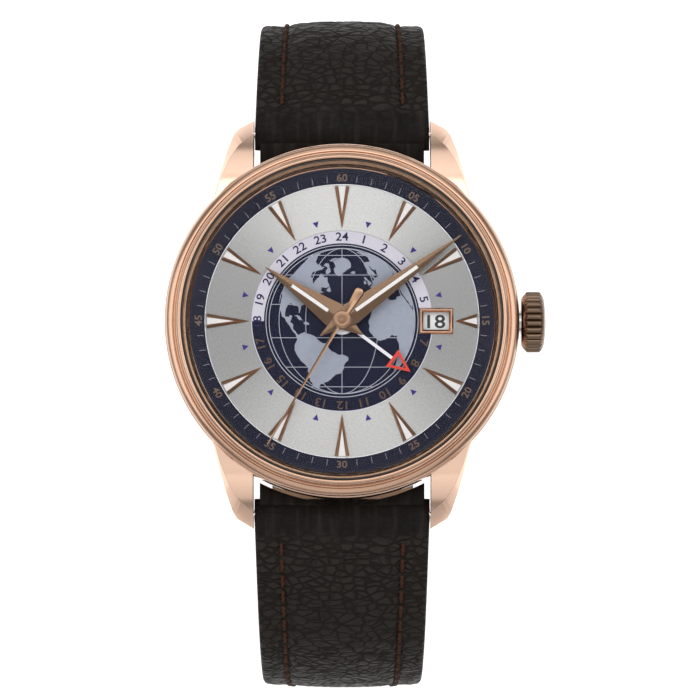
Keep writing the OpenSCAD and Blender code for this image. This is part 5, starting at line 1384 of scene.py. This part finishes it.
# Painted light: a glowing pool on the floor round the watch, fading to a grey floor further out.
painted_light_pool = wired(tree, "MapRange", {"Value": reach.outputs["Value"], "From Min": 0.066, "From Max": 0.22,
                                "To Min": 1, "To Max": 0}, interpolation_type="SMOOTHSTEP")
for key, outside, inside in (("Base Color", (0.45, 0.45, 0.445, 1), (0.95, 0.95, 0.95, 1)),
                             ("Emission Color", (0, 0, 0, 1), (1, 1, 1, 1))):
    mixed = wired(tree, "MixRGB", {"Fac": painted_light_pool.outputs["Result"], 1: outside, 2: inside})
    feed(tree, key, mixed.outputs[0])
tree.nodes["Principled BSDF"].inputs["Emission Strength"].default_value = 0.5
low_point = min(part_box(node)[0].z for node in
                ("strap_12_leather", "strap_6_leather", "sliding_keeper", "fixed_keeper")) / mm
floor_r, floor_top, floor_bottom = 1500, low_point - 0.02, low_point - 4
floor = turned_solid("floor", [(0, floor_bottom), (floor_r, floor_bottom), (floor_r, floor_top),
                               (0, floor_top)], white_floor, 64)


def aimed(name, data, at, aim):
    """An object at a point, turned to another."""
    thing = placed(name, data)
    thing.location = at
    thing.rotation_euler = (Vector(aim) - Vector(at)).to_track_quat("-Z", "Y").to_euler()


for name, at, wide, tall, watts in (("overhead_panel", (0, 0.35, 0.95), 0.9, 0.5, 1.8),
                                    ("left_panel", (-0.75, 0.0, 0.55), 0.75, 0.9, 2.6),
                                    ("right_panel", (0.75, 0.0, 0.55), 0.75, 0.9, 2.6),
                                    ("back_panel", (0, 0.95, 0.6), 1.4, 0.7, 2.1),
                                    ("front_panel", (0, -0.95, 0.6), 1.4, 0.7, 1.5)):
    light = bpy.data.lights.new(name, "AREA")
    light.shape = "RECTANGLE"
    light.size, light.size_y = wide, tall
    light.energy = watts
    aimed(name, light, at, (0, 0, 0))

sky = bpy.data.worlds.new("studio_sky")
bpy.context.scene.world = sky
sky.use_nodes = True
tree = sky.node_tree
facing = wired(tree, "TexCoord")
parts = wired(tree, "SeparateXYZ", {0: facing.outputs["Generated"]})
fade = ramp(tree, parts.outputs["Z"], (0.5, 0.49, 0.48), (0.84, 0.84, 0.84))
for height, level in ((0.08, 0.30), (0.2, 0.22), (0.45, 0.34), (0.7, 0.52), (0.84, 0.95)):
    stop = fade.color_ramp.elements.new(height)
    stop.color = (level, level * 0.985, level * 0.97, 1)
tree.links.new(fade.outputs["Color"], tree.nodes["Background"].inputs["Color"])
bpy.context.scene.view_settings.view_transform = "Standard"

# The camera looks down on the dial, 4 degrees from the 6 o'clock side, through a long lens.
tilt, away, sensor, seen_width = math.radians(4), 0.6, 36, 0.08235
eye = bpy.data.cameras.new("camera")
eye.sensor_width = sensor
eye.lens = sensor * away / seen_width
eye.clip_start, eye.clip_end = 0.05, 10
camera = placed("camera", eye)
aim = Vector((0.00094, -0.0035, 0.008))
camera.location = aim + Vector((0, -math.sin(tilt), math.cos(tilt))) * away
camera.rotation_euler = (tilt, 0, 0)
bpy.context.scene.camera = camera
